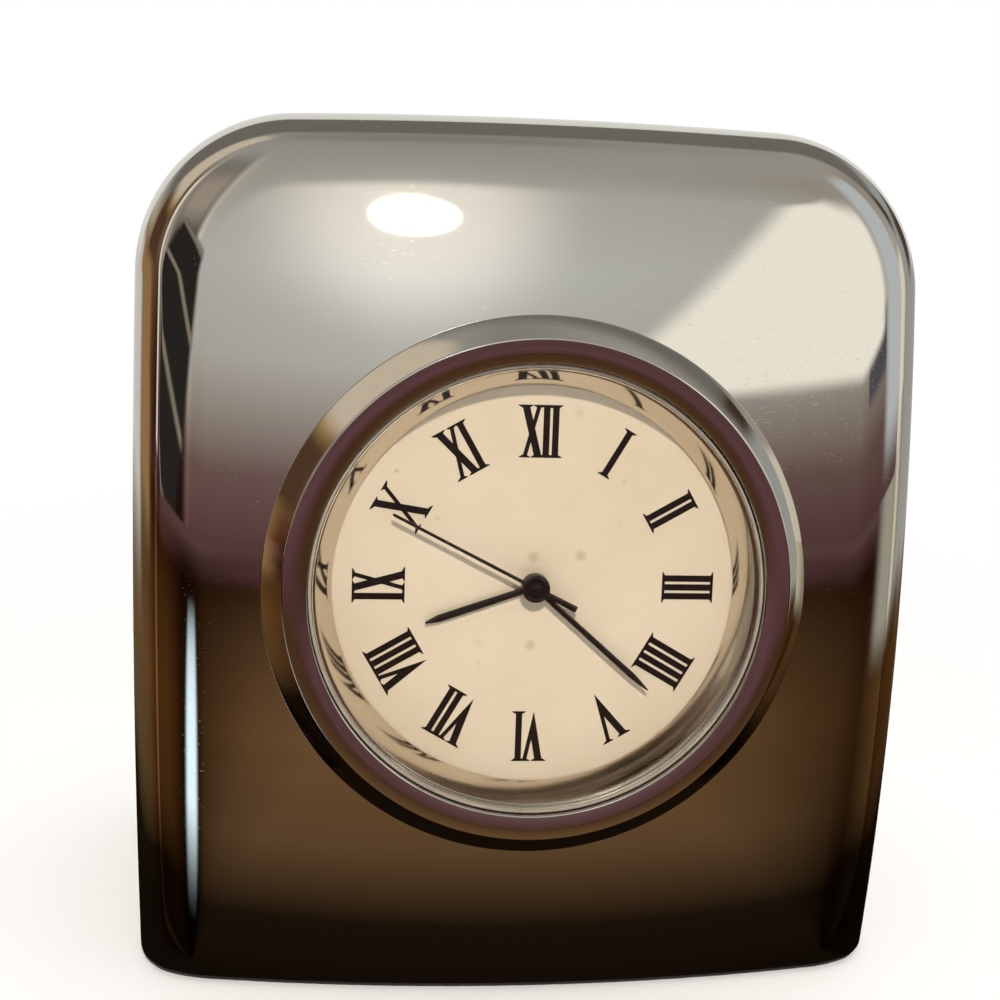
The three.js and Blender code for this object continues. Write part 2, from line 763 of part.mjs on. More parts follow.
function mainPlate() {
  const plate = rod(plateRadius, plateBottom, plateTop, centreAt, ringSegments);
  const pillars = pillarPlaces.map((place) =>
    rod(pillarRadius, bridgeTop + fitGap, plateTop - wheelGap, place, smallSegments),
  );
  const screwHoles = pillarPlaces.map((place) =>
    rod(bridgeScrewRadius + slimGap, bridgeTop, bridgeTop + bridgeScrewReach + fitGap, place),
  );
  const stemBlock = box(
    [blockDistance, -stemBlockWidth / 2, stemHeight - stemBlockWidth / 2],
    [blockDistance + stemBlockLength, stemBlockWidth / 2, plateBottom + wheelGap],
  );
  const stemHole = crossRod(
    stemPilotRadius + runningGap,
    blockDistance - cutPast,
    blockDistance + stemBlockLength + cutPast,
    stemHeight,
  );
  const holes = [thirdAt, intermediateAt, rotorAt, minuteAt, settingAt].map((place) =>
    rod(pivotRadius + runningGap, plateBottom - cutPast, plateTop + cutPast, place),
  );
  const centreHole = rod(cannonOuter + runningGap, plateBottom - cutPast, plateTop + cutPast);
  return cut(join(plate, ...pillars, stemBlock), ...screwHoles, stemHole, ...holes, centreHole);
}

function trainBridge() {
  const plate = rod(bridgeRadius, bridgeBottom, bridgeTop, centreAt, ringSegments);
  const post = rod(clipPostRadius, cellBottom, bridgeBottom + fitGap, clipPostAt, smallSegments);
  const holes = [centreAt, thirdAt, intermediateAt, rotorAt].map((place) =>
    rod(pivotRadius + runningGap, bridgeBottom - cutPast, bridgeTop + cutPast, place),
  );
  const screwHoles = pillarPlaces.map((place) =>
    rod(bridgeScrewRadius + slimGap, bridgeBottom - cutPast, bridgeTop + cutPast, place),
  );
  const clipHole = rod(
    bridgeScrewRadius + slimGap,
    cellBottom - cutPast,
    cellBottom + bridgeScrewReach + fitGap,
    clipPostAt,
  );
  return cut(join(plate, post), ...holes, ...screwHoles, clipHole);
}

// A pan-head screw driven in from the back.
function rearScrew(place, seat, reach) {
  return join(
    rod(bridgeScrewHeadRadius, seat - bridgeScrewHeadHeight, seat, place, smallSegments),
    rod(bridgeScrewRadius, seat - bridgeScrewHeadHeight / 2, seat + reach, place),
  );
}

// Motor, circuit and cell

// Drawn with the motor's direction along x, then turned to it.
function towardsMotor(solid) {
  return solid.rotate([0, 0, motorDirection / deg]);
}

function stator() {
  const middle = (centreLayer.top + thirdLayer.low) / 2;
  const yoke = box(
    [rotorDistance - statorWidth / 2, -statorLength / 2, middle - statorThickness / 2],
    [rotorDistance + statorWidth / 2, statorLength / 2, middle + statorThickness / 2],
  );
  const holeRadius = magnetRadius + statorAirGap;
  const hole = rod(holeRadius, middle - cutPast, middle + cutPast, [rotorDistance, 0], smallSegments);
  return towardsMotor(cut(yoke, hole));
}

function coil() {
  const middle = (centreLayer.top + thirdLayer.low) / 2;
  const level = middle - (coilRadius - (centreLayer.top - middle));
  const along = rotorDistance + coilOffset;
  const core = box(
    [along - coreWidth / 2, -statorLength / 2, level - coreThickness / 2],
    [along + coreWidth / 2, statorLength / 2, level + coreThickness / 2],
  );
  const tabs = [-statorLength / 2, statorLength / 2 - coreTab].map((low) =>
    box(
      [rotorDistance + statorWidth / 2 + fitGap, low, level - coreThickness / 2],
      [along, low + coreTab, level + coreThickness / 2],
    ),
  );
  const cylinder = new THREE.CylinderGeometry(coilRadius, coilRadius, coilLength, smallSegments);
  const winding = solidOf(cylinder.translate(along, 0, level));
  return towardsMotor(join(core, ...tabs, winding));
}

function circuitBoard() {
  const disc = rod(bridgeRadius - 2 * fitGap, boardBottom, boardTop, centreAt, ringSegments);
  const reach = 2 * bridgeRadius;
  const lower = box([-reach, -reach, boardBottom - 1], [reach, boardChord, boardTop + 1]);
  const headRoom = bridgeScrewHeadRadius + 2 * fitGap;
  const heads = pillarPlaces.map((place) =>
    rod(headRoom, boardBottom - cutPast, boardTop + cutPast, place, smallSegments),
  );
  return cut(disc, lower, ...heads);
}

function crystalCan() {
  return crossRod(crystalRadius, -crystalLength / 2, crystalLength / 2, 0, smallSegments).translate([
    0,
    crystalSetback,
    boardBottom - fitGap - crystalRadius,
  ]);
}

function buttonCell() {
  const place = polar(cellOrbitRadius, cellDirection);
  return join(
    rod(cellRadius, cellBottom, boardTop - cellRimStep, place, ringSegments),
    rod(cellRadius - 2 * cellRimStep, boardTop - 2 * cellRimStep, boardTop, place, smallSegments),
  );
}

// A spring strap from its post across the cell's outer face.
function batteryClip() {
  const start = cellOrbitRadius - cellRadius - 2 * clipPostRadius - fitGap;
  const strap = box(
    [start, -clipWidth / 2, clipBottom],
    [start + 2 * clipPostRadius + clipReach, clipWidth / 2, clipTop],
  ).rotate([0, 0, cellDirection / deg]);
  return cut(strap, rod(bridgeScrewRadius + slimGap, clipBottom - cutPast, clipTop + cutPast, clipPostAt));
}

// Setting gear

const crownInner = caseOuter + fitGap;
const slidingPinionAt = blockDistance + stemBlockLength + fitGap;

function settingStem() {
  const shoulder = slidingPinionAt;
  const halfGroove = stemGrooveWidth / 2;
  const groove = cut(
    crossRod(2 * stemRadius, grooveDistance - halfGroove, grooveDistance + halfGroove, stemHeight),
    crossRod(stemRadius - stemGroove, grooveDistance - cutPast, grooveDistance + cutPast, stemHeight),
  );
  const whole = join(
    crossRod(stemRadius, shoulder, crownInner + crownLength / 2, stemHeight),
    crossRod(stemPilotRadius, shoulder - stemPilotLength, shoulder + fitGap, stemHeight),
  );
  return cut(whole, groove);
}

function slidingPinion() {
  const toothed = gear(slidingPinionTeeth, slidingPinionModule, 0, 0, slidingPinionLength)
    .rotate([0, 90, 0])
    .translate([slidingPinionAt, 0, stemHeight]);
  return cut(toothed, crossRod(stemRadius + slimGap, 0, caseOuter, stemHeight));
}

function crown() {
  const corners = [];
  for (let flute = 0; flute < crownFlutes; flute++) {
    const angle = (2 * Math.PI * flute) / crownFlutes;
    const half = Math.PI / crownFlutes;
    corners.push(new THREE.Vector2(...polar(crownRadius, angle)));
    corners.push(new THREE.Vector2(...polar(crownRadius - crownFluteDepth, angle + half)));
  }
  const knob = prism(new THREE.Shape(corners), 0, crownLength)
    .rotate([0, 90, 0])
    .translate([crownInner, 0, stemHeight]);
  const socket = crossRod(
    stemRadius + slimGap,
    crownInner - cutPast,
    crownInner + crownLength / 2 + slimGap,
    stemHeight,
  );
  return cut(knob, socket);
}

// A flat lever whose nose sits in the stem's groove.
function settingLever() {
  const noseWidth = stemGrooveWidth - 2 * slimGap;
  const arm = box(
    [grooveDistance - leverWidth / 2, -stemRadius - fitGap - leverLength, stemHeight - leverThickness / 2],
    [grooveDistance + leverWidth / 2, -stemRadius - fitGap, stemHeight + leverThickness / 2],
  );
  const nose = box(
    [grooveDistance - noseWidth / 2, -stemRadius - 2 * fitGap, stemHeight - leverThickness / 2],
    [grooveDistance + noseWidth / 2, -stemRadius + stemGroove - slimGap, stemHeight + leverThickness / 2],
  );
  return join(arm, nose);
}

// Finishes

function finish(color, roughness, metalness) {
  return new THREE.MeshStandardMaterial({ color, roughness, metalness });
}

const platedMetal = () => finish(0xc9c7c2, 0.06, 1);
const brass = () => finish(0xc2a25a, 0.35, 1);
const steel = () => finish(0xa6a8aa, 0.3, 1);
const blackLacquer = () => finish(0x111010, 0.25, 0);
const blackPlastic = () => finish(0x1b1b1c, 0.5, 0);
const whitePlastic = () => finish(0xd9d6cd, 0.5, 0);

function nodeMesh(name, solid, material) {
  const { numProp, vertProperties, triVerts } = solid.getMesh();
  const count = vertProperties.length / numProp;
  const positions = new Float32Array(3 * count);
  for (let i = 0; i < count; i++) {
    positions.set(vertProperties.subarray(i * numProp, i * numProp + 3), 3 * i);
  }
  const geometry = new THREE.BufferGeometry();
  geometry.setAttribute("position", new THREE.BufferAttribute(positions, 3));
  geometry.setIndex(new THREE.BufferAttribute(triVerts, 1));
  geometry.computeVertexNormals();
  const mesh = new THREE.Mesh(geometry, material);
  mesh.name = name;
  return mesh;
}

// Assembly: the body and base in the table's frame, the insert in the face's frame

const clock = new THREE.Group();
clock.add(
  nodeMesh("body_shell", bodyShell(), platedMetal()),
  nodeMesh("base_plate", basePlate(), steel()),
  nodeMesh("base_screw_left", baseScrew(-bossX), steel()),
  nodeMesh("base_screw_right", baseScrew(bossX), steel()),
  nodeMesh("felt_pad", hollowSlab(plateClearance, 0, feltThickness), finish(0x1d1c1b, 1, 0)),
);

const insert = new THREE.Group();
insert.applyMatrix4(faceFrame);
const gripLow = -seatGap - boreDepth / 2 - gripHeight / 2;
insert.add(
  nodeMesh("bezel_ring", bezelRing(), platedMetal()),
  nodeMesh("lens", rod(lensRadius, lensBottom, lensTop, centreAt, ringSegments), finish(0xf4f6f5, 0.05, 0)),
  nodeMesh(
    "lens_gasket",
    band(gasketInner, gasketOuter, lensTop - gasketHeight, lensTop),
    finish(0xe4e1d8, 0.4, 0),
  ),
  nodeMesh("rehaut_ring", rehautRing(), platedMetal()),
  nodeMesh(
    "dial_plate",
    cut(
      rod(caseInner - fitGap, dialBottom, dialTop, centreAt, ringSegments),
      rod(dialHole, dialBottom - cutPast, dialTop + cutPast),
    ),
    finish(0xe6d3b5, 0.8, 0),
  ),
  nodeMesh("insert_case", insertCase(), blackPlastic()),
  nodeMesh("case_back", caseBack(), blackPlastic()),
  nodeMesh(
    "grip_band",
    band(gripInner, gripOuter, gripLow, gripLow + gripHeight),
    finish(0x161616, 0.9, 0),
  ),
  nodeMesh("main_plate", mainPlate(), brass()),
  nodeMesh("train_bridge", trainBridge(), whitePlastic()),
  nodeMesh("stator", stator(), steel()),
  nodeMesh("coil", coil(), finish(0xa5562a, 0.45, 1)),
  nodeMesh("rotor", rotor(), steel()),
  nodeMesh("intermediate_wheel", intermediateWheel(), whitePlastic()),
  nodeMesh("seconds_wheel", secondsWheel(), brass()),
  nodeMesh("third_wheel", thirdWheel(), brass()),
  nodeMesh("centre_wheel", centreWheel(), brass()),
  nodeMesh("cannon_pinion", cannonPinion(), steel()),
  nodeMesh("minute_wheel", minuteWheel(), brass()),
  nodeMesh("hour_wheel", hourWheel(), brass()),
  nodeMesh("setting_wheel", settingWheel(), brass()),
  nodeMesh("hour_hand", hand(hourHandLength, hourHandAngle, hourHandLow, hourPipeOuter), blackLacquer()),
  nodeMesh(
    "minute_hand",
    hand(minuteHandLength, minuteHandAngle, minuteHandLow, cannonOuter),
    blackLacquer(),
  ),
  nodeMesh("seconds_hand", secondsHand(), blackLacquer()),
  nodeMesh("circuit_board", circuitBoard(), finish(0x2c5c3a, 0.6, 0)),
  nodeMesh("crystal_can", crystalCan(), steel()),
  nodeMesh("button_cell", buttonCell(), steel()),
  nodeMesh("battery_clip", batteryClip(), steel()),
  nodeMesh("clip_screw", rearScrew(clipPostAt, clipBottom - slimGap, bridgeScrewReach), steel()),
  nodeMesh("setting_stem", settingStem(), steel()),
  nodeMesh("sliding_pinion", slidingPinion(), steel()),
  nodeMesh("crown", crown(), platedMetal()),
  nodeMesh("setting_lever", settingLever(), steel()),
);
pillarPlaces.forEach((place, i) => {
  const screw = rearScrew(place, bridgeBottom - slimGap, bridgeThickness + bridgeScrewReach - 2 * fitGap);
  insert.add(nodeMesh(`bridge_screw_${i + 1}`, screw, steel()));
});
clock.add(insert);

export default clock;
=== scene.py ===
"""Looks of a small plated desk clock with a push-in quartz insert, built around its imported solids."""

import json
import math

import bmesh
import bpy
import numpy as np
from mathutils import Matrix, Vector


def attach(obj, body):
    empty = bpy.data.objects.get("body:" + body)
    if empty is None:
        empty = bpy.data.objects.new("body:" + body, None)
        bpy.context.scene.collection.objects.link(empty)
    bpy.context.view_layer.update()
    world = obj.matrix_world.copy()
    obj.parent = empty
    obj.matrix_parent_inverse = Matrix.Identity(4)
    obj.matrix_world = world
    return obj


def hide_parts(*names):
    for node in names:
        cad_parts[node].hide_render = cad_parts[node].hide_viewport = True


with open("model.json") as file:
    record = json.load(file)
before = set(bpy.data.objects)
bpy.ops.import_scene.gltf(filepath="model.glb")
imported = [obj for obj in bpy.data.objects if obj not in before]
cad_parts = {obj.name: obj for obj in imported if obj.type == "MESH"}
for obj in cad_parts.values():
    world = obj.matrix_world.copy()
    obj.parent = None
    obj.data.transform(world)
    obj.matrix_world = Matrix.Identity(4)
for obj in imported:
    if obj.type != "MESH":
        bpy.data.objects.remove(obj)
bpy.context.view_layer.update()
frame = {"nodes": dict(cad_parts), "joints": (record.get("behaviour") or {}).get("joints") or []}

MM = 0.001

# The face's own frame comes from the joint along which the insert slides out: x to the right, y up along
# the face, z out of it.
insert_pull = next(joint for joint in frame["joints"] if joint["name"] == "insert_pull")
CENTRE = np.array(insert_pull["pos_m"])
FACE_Z = np.array(insert_pull["axis"])
FACE_X = np.array([1.0, 0.0, 0.0])
FACE_Y = np.cross(FACE_Z, FACE_X)
FACE = np.stack([FACE_X, FACE_Y, FACE_Z])
FACE_LEAN = math.atan2(FACE_Z[2], -FACE_Z[1])

# Body, in millimetres on the face; rim, felt and plate in millimetres over the table
BODY_WIDTH = 54.1
SIDE_BOW_RADIUS = 3000.0
TOP_ABOVE_INSERT = 31.1
TOP_ARCH_RADIUS = 550.0
TOP_CORNER_RADIUS = 10.8
FOOT_BELOW_INSERT = 34.9
BACK_LEAN = math.radians(3)
BASE_DEPTH = 30.0
DOME_RADIUS = 150.0
SHOULDER_WIDTH = 3.0
SHOULDER_DROP = 0.52
ROLL_RADIUS = 5.0
ROLL_START = math.radians(36)
ROLL_INSET = ROLL_RADIUS * (1 - math.sin(ROLL_START))
BACK_ROLL_RADIUS = 2.5
BODY_WALL = 2.6
HOLLOW_CORNER = 1.2
BORE_RADIUS = 17.5
BORE_DEPTH = 3.4
BORE_CHAMFER = 0.2
RIM_LIFT = 0.6
PLATE_CLEARANCE = 0.15
FELT_THICKNESS = 1.5
PLATE_LOW = 1.6
PLATE_HIGH = 3.6

# Insert, in millimetres from the seat plane
SEAT_GAP = 0.1
BEZEL_RADIUS = 18.25
BEZEL_EDGE = 0.45
BEZEL_LEDGE = 0.2
SKIRT_INNER = 16.6
SKIRT_OUTER = 17.0
SKIRT_END = -3.0
RIDGE_RADIUS = 16.82
RIDGE_HEIGHT = 2.02
BAND_INNER_RADIUS = 15.19
BAND_INNER_HEIGHT = 1.87
GASKET_OUTER = 15.14
GASKET_INNER = 14.92
GASKET_BOTTOM = 0.6
LENS_RADIUS = 14.87
REFLECTOR_OUTER = 15.09
REFLECTOR_TOP = 14.67
REFLECTOR_FOOT = -1.1
REFLECTOR_EDGE = -1.0
LENS_TOP = 1.5
LENS_BOTTOM = 0.7
DIAL_TOP = -1.2
DIAL_BOTTOM = -1.6
DIAL_OPENING = 13.5
DIAL_RADIUS = 15.8
DIAL_HOLE = 0.72
CASE_RADIUS = 16.5
CASE_LIP = 0.1
CASE_END = -10.75
CUP_STEP = -3.7
CUP_MOUTH = 15.9
CUP_INNER = 15.0
LID_TOP = -10.85
LID_BOTTOM = -11.55
LID_PLUG_RADIUS = 14.9
LID_PLUG_TOP = -10.15
GRIP_INNER = 17.05
GRIP_OUTER = 17.42
GRIP_FROM = -3.05
GRIP_TO = -0.55

# Hands: sizes in millimetres, low side from the seat plane, angle in degrees clockwise from twelve
HOUR_HAND = {"length": 7.7, "angle": 250.9, "low": -1.0, "half": 0.24, "hole": 0.71}
MINUTE_HAND = {"length": 10.6, "angle": 131.5, "low": -0.7, "half": 0.205, "hole": 0.48}
SECONDS_HAND = {"length": 10.8, "angle": 297.0, "low": -0.4}
HAND_THICKNESS = 0.2
HUB_RADIUS = 0.95


def linear(code):
    """Turns an sRGB hex colour into linear RGB with an alpha of one."""
    levels = np.array([int(code[i:i + 2], 16) for i in (1, 3, 5)]) / 255
    low = levels / 12.92
    high = ((levels + 0.055) / 1.055) ** 2.4
    return (*np.where(levels <= 0.04045, low, high), 1.0)


# Shapes

MERGE = 2e-7
SLIVER = 1e-8
SHARP_ANGLE = math.radians(35)


def on_face(points):
    """Places points of the face's frame, in millimetres, in the object's frame, in metres."""
    return CENTRE + MM * np.asarray(points) @ FACE


def grid_faces(rows, columns, wrap_rows=False, wrap_columns=True):
    """Quads of a grid of points: each joins a point to its neighbours in the next row and column."""
    row = np.arange(rows if wrap_rows else rows - 1)
    column = np.arange(columns if wrap_columns else columns - 1)
    i, j = (a.ravel() for a in np.meshgrid(row, column, indexing="ij"))
    after, beside = (i + 1) % rows, (j + 1) % columns
    here, there = i * columns, after * columns
    return np.stack([here + j, here + beside, there + beside, there + j], 1)


def rounded(corners, radii, steps=6):
    """A profile through the corners, each cut by an arc that leaves its two edges at that radius's tangent
    length; a radius of zero keeps the corner sharp."""
    corners = np.asarray(corners, float)
    profile = []
    neighbours = np.roll(corners, 1, 0), np.roll(corners, -1, 0)
    for corner, before, after, radius in zip(corners, *neighbours, radii):
        if radius == 0:
            profile.append(corner[None])
            continue
        share = np.linspace(0, 1, steps + 1)[:, None]
        start = corner + radius * (before - corner) / np.linalg.norm(before - corner)
        end = corner + radius * (after - corner) / np.linalg.norm(after - corner)
        profile.append((1 - share) ** 2 * start + 2 * share * (1 - share) * corner + share ** 2 * end)
    return np.concatenate(profile)


def clockwise(x, y, degrees):
    """Points of the face, turned clockwise round the insert's axis."""
    cosine, sine = math.cos(math.radians(degrees)), math.sin(math.radians(degrees))
    return x * cosine + y * sine, y * cosine - x * sine


def turned(profile, segments=192, closed=True):
    """A surface of revolution round the face's normal: each point [radius, height] makes a circle."""
    profile = np.asarray(profile, float)
    angle = np.linspace(0, 2 * np.pi, segments, endpoint=False)
    radius = profile[:, :1]
    height = np.repeat(profile[:, 1:], segments, 1)
    points = np.stack([radius * np.cos(angle), radius * np.sin(angle), height], -1).reshape(-1, 3)
    return points, grid_faces(len(profile), segments, wrap_rows=closed)


def together(*shapes):
    """Several shapes as one: the points follow each other and the faces count on."""
    counts = np.cumsum([0] + [len(points) for points, _ in shapes])
    points = np.concatenate([points for points, _ in shapes])
    faces = [np.asarray(face) + start for (_, block), start in zip(shapes, counts) for face in block]
    return points, faces


def new_object(name, points, faces, material):
    """A mesh object in the scene, from points in metres."""
    mesh = bpy.data.meshes.new(name)
    mesh.from_pydata(np.asarray(points).tolist(), [], [list(map(int, face)) for face in faces])
    mesh.materials.append(material)
    made = bpy.data.objects.new(name, mesh)
    bpy.context.scene.collection.objects.link(made)
    return made


def smooth(mesh):
    """Shades all of a mesh's faces as parts of a curved surface."""
    mesh.polygons.foreach_set("use_smooth", np.ones(len(mesh.polygons), bool))


def make_piece(name, points, faces, material, body, slot, replaced=(), planes=(), bridge=False):
    """A piece of the object. Doubles at seams and poles are merged, what lies outside the given planes is
    cut away, and the open edges are filled or bridged."""
    piece = new_object(name, points, faces, material)
    shape = bmesh.new()
    shape.from_mesh(piece.data)
    bmesh.ops.remove_doubles(shape, verts=shape.verts, dist=MERGE)
    bmesh.ops.dissolve_degenerate(shape, edges=shape.edges, dist=SLIVER)
    for place, outward in planes:
        whole = shape.verts[:] + shape.edges[:] + shape.faces[:]
        bmesh.ops.bisect_plane(shape, geom=whole, plane_co=place, plane_no=outward, clear_outer=True)
        rim = [edge for edge in shape.edges if edge.is_boundary]
        if bridge:
            bmesh.ops.bridge_loops(shape, edges=rim)
        else:
            bmesh.ops.holes_fill(shape, edges=rim)
    bmesh.ops.recalc_face_normals(shape, faces=shape.faces)
    shape.to_mesh(piece.data)
    shape.free()
    smooth(piece.data)
    piece.data.set_sharp_from_angle(angle=SHARP_ANGLE)
    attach(piece, body)
    if replaced:
        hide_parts(*replaced)
    return piece


# Shapes of the body

SIDE_POINTS = 90
CORNER_POINTS = 36
TOP_POINTS = 81
DOME_RINGS = 44
SHOULDER_RINGS = 15
ROLL_RINGS = 22
SIDE_RINGS = 13
BACK_ROLL_RINGS = 11
BACK_RINGS = 12
HOLLOW_BACK_RINGS = 8
HOLLOW_CORNER_RINGS = 5


def dome(x, y):
    """Height of the domed face: a shallow paraboloid that passes just under the bezel's edge."""
    return -SEAT_GAP + (BEZEL_RADIUS ** 2 - x * x - y * y) / (2 * DOME_RADIUS)


def back_height(y):
    """Height of the back plane, which leans forward, over a point of the outline."""
    slope, sine, cosine = math.tan(BACK_LEAN), math.sin(FACE_LEAN), math.cos(FACE_LEAN)
    reach = BASE_DEPTH / 2 - (CENTRE[2] / MM) * slope - CENTRE[1] / MM
    return (reach - (cosine * slope + sine) * y) / (sine * slope - cosine)


def body_outline():
    """The body's outline on the face as [x, y] and its outward normals, anticlockwise from the right foot:
    bowed sides x = half - y^2 / 2R, round corners, an arched top y = top - x^2 / 2R, a straight foot."""
    half = BODY_WIDTH / 2

    def side(y):
        return half - y * y / (2 * SIDE_BOW_RADIUS)

    def top(x):
        return TOP_ABOVE_INSERT - x * x / (2 * TOP_ARCH_RADIUS)

    corner = np.array([half, TOP_ABOVE_INSERT]) - TOP_CORNER_RADIUS
    start, end = 0.0, math.pi / 2
    for _ in range(12):
        side_y = corner[1] + TOP_CORNER_RADIUS * math.sin(start)
        top_x = corner[0] + TOP_CORNER_RADIUS * math.cos(end)
        start = math.atan(side_y / SIDE_BOW_RADIUS)
        end = math.pi / 2 - math.atan(top_x / TOP_ARCH_RADIUS)
        corner = np.array([
            side(side_y) - TOP_CORNER_RADIUS * math.cos(start),
            top(top_x) - TOP_CORNER_RADIUS * math.sin(end),
        ])
    side_end = corner[1] + TOP_CORNER_RADIUS * math.sin(start)
    y = np.linspace(-FOOT_BELOW_INSERT, side_end, SIDE_POINTS, endpoint=False)
    bow = np.arctan(y / SIDE_BOW_RADIUS)
    right = np.stack([side(y), y, np.cos(bow), np.sin(bow)], 1)
    turn = np.linspace(start, end, CORNER_POINTS, endpoint=False)
    cosine, sine = np.cos(turn), np.sin(turn)
    bend = np.stack([
        corner[0] + TOP_CORNER_RADIUS * cosine, corner[1] + TOP_CORNER_RADIUS * sine, cosine, sine,
    ], 1)
    right = np.concatenate([right, bend])
    reach = corner[0] + TOP_CORNER_RADIUS * math.cos(end)
    x = np.linspace(reach, -reach, TOP_POINTS)
    arch = np.arctan(x / TOP_ARCH_RADIUS)
    across = np.stack([x, top(x), np.sin(arch), np.cos(arch)], 1)
    left = (right * [-1, 1, -1, 1])[::-1]
    share = np.linspace(1, -1, TOP_POINTS)[1:-1]
    foot_y = np.full_like(share, -FOOT_BELOW_INSERT)
    under = np.stack([-side(foot_y) * share, foot_y, -share, np.zeros_like(share)], 1)
    return np.concatenate([right, across, left, under])


OUTLINE = body_outline()


def inset(distance):
    """The outline moved inwards along its normals."""
    return OUTLINE[:, :2] - distance * OUTLINE[:, 2:]


def circle(radius):
    """A circle round the insert, with a point under each point of the outline."""
    return radius * OUTLINE[:, :2] / np.linalg.norm(OUTLINE[:, :2], axis=1, keepdims=True)


def at_height(points, height):
    """Points of the face raised to a height, which is a number or one for each point."""
    return np.concatenate([points, np.broadcast_to(np.reshape(height, (-1, 1)), (len(points), 1))], 1)


def dome_at(points):
    return dome(points[:, 0], points[:, 1])


def outside_rings():
    """Rings of the body's outside, from the bore's mouth over the dome, the shoulder, the crease, the
    rolled edge and the side to the middle of the flat back."""
    mouth = circle(BORE_RADIUS + BORE_CHAMFER)
    shoulder = inset(ROLL_INSET + SHOULDER_WIDTH)
    rings = []
    for share in np.linspace(0, 1, DOME_RINGS):
        points = mouth + share * (shoulder - mouth)
        rings.append(at_height(points, dome_at(points)))
    for share in np.linspace(0, 1, SHOULDER_RINGS)[1:]:
        points = inset(ROLL_INSET + SHOULDER_WIDTH * (1 - share))
        rings.append(at_height(points, dome_at(points) - SHOULDER_DROP * share ** 2))
    crease = rings[-1][:, 2]
    for angle in np.linspace(ROLL_START, math.pi / 2, ROLL_RINGS)[1:]:
        points = inset(ROLL_RADIUS * (1 - math.sin(angle)))
        rings.append(at_height(points, crease - ROLL_RADIUS * (math.cos(ROLL_START) - math.cos(angle))))
    low = rings[-1][:, 2]
    back = back_height(OUTLINE[:, 1]) + BACK_ROLL_RADIUS
    for share in np.linspace(0, 1, SIDE_RINGS)[1:]:
        rings.append(at_height(inset(0), low + share * (back - low)))
    for angle in np.linspace(0, math.pi / 2, BACK_ROLL_RINGS)[1:]:
        points = inset(BACK_ROLL_RADIUS * (1 - math.cos(angle)))
        rise = BACK_ROLL_RADIUS * (1 - math.sin(angle))
        rings.append(at_height(points, back_height(points[:, 1]) + rise))
    edge = rings[-1][:, :2]
    for share in np.linspace(1, 0, BACK_RINGS)[1:]:
        rings.append(at_height(share * edge, back_height(share * edge[:, 1])))
    return rings


def hollow_rings(clearance):
    """Rings of the hollow, one wall inside the outside: from the middle of the back along the side to the
    front; a clearance shrinks it for what fits in it."""
    wall = BODY_WALL + clearance
    edge = inset(wall + HOLLOW_CORNER)
    rings = []
    for share in np.linspace(0, 1, HOLLOW_BACK_RINGS):
        rings.append(at_height(share * edge, back_height(share * edge[:, 1]) + wall))
    for angle in np.linspace(0, math.pi / 2, HOLLOW_CORNER_RINGS)[1:]:
        points = inset(wall + HOLLOW_CORNER * (1 - math.sin(angle)))
        rise = wall + HOLLOW_CORNER * (1 - math.cos(angle))
        rings.append(at_height(points, back_height(points[:, 1]) + rise))
    for angle in np.linspace(math.pi / 2, 0, HOLLOW_CORNER_RINGS):
        points = inset(wall + HOLLOW_CORNER * (1 - math.sin(angle)))
        front = dome_at(points) - SHOULDER_DROP - wall
        rings.append(at_height(points, front - HOLLOW_CORNER * (1 - math.cos(angle))))
    return rings


def front_wall(clearance, radius, steps):
    """Rings of the hollow's front, from its edge towards a circle round the insert."""
    wall = BODY_WALL + clearance
    edge, hole = inset(wall + HOLLOW_CORNER), circle(radius)
    rings = []
    for share in np.linspace(0, 1, steps)[1:]:
        points = edge + share * (hole - edge)
        rings.append(at_height(points, dome_at(points) - SHOULDER_DROP - wall))
    return rings


def body_skin():
    """One closed skin: the outside, the bore's wall, and the hollow back to its middle."""
    bore = circle(BORE_RADIUS)
    wall_end = at_height(bore, -BORE_DEPTH)
    lip = at_height(bore, dome_at(bore) - BORE_CHAMFER)
    rings = hollow_rings(0) + front_wall(0, BORE_RADIUS + 1, 10) + [wall_end, lip] + outside_rings()
    return on_face(np.concatenate(rings)), grid_faces(len(rings), len(OUTLINE))


def hollow_slab(clearance):
    """The closed skin of the hollow, from which the plate and the felt are sliced."""
    rings = hollow_rings(clearance) + front_wall(clearance, 1e-6, 8)
    return on_face(np.concatenate(rings)), grid_faces(len(rings), len(OUTLINE))


# Shapes of the hands


def blade(length, low, stations, angle):
    """A hand's blade: a crowned section carried along the hand, with the half widths given at the
    stations, which are shares of its length."""
    along = np.interp(np.linspace(0, 1, 61), np.linspace(0, 1, len(stations)), [s for s, _ in stations])
    half = np.interp(along, [s for s, _ in stations], [w for _, w in stations])
    across = np.array([-1, -1, -0.8, -0.4, 0.0, 0.4, 0.8, 1, 1])
    up = np.array([0, 0.55, 0.85, 0.97, 1.0, 0.97, 0.85, 0.55, 0])
    x = half[:, None] * across
    y = np.repeat(length * along[:, None], len(across), 1)
    z = np.repeat(low + HAND_THICKNESS * up[None], len(along), 0)
    points = np.stack([*clockwise(x, y, angle), z], -1).reshape(-1, 3)
    count = len(across)
    ends = [np.arange(count)[::-1], np.arange(count) + (len(along) - 1) * count]
    return points, [*grid_faces(len(along), count), *ends]


def hub(low, hole):
    """A hand's round hub: a thin ring with rounded edges."""
    high = low + HAND_THICKNESS
    corners = [[hole, low], [HUB_RADIUS, low], [HUB_RADIUS, high], [hole, high]]
    return turned(rounded(corners, [0, 0.04, 0.08, 0.03]), 64)


# Shapes of the numerals

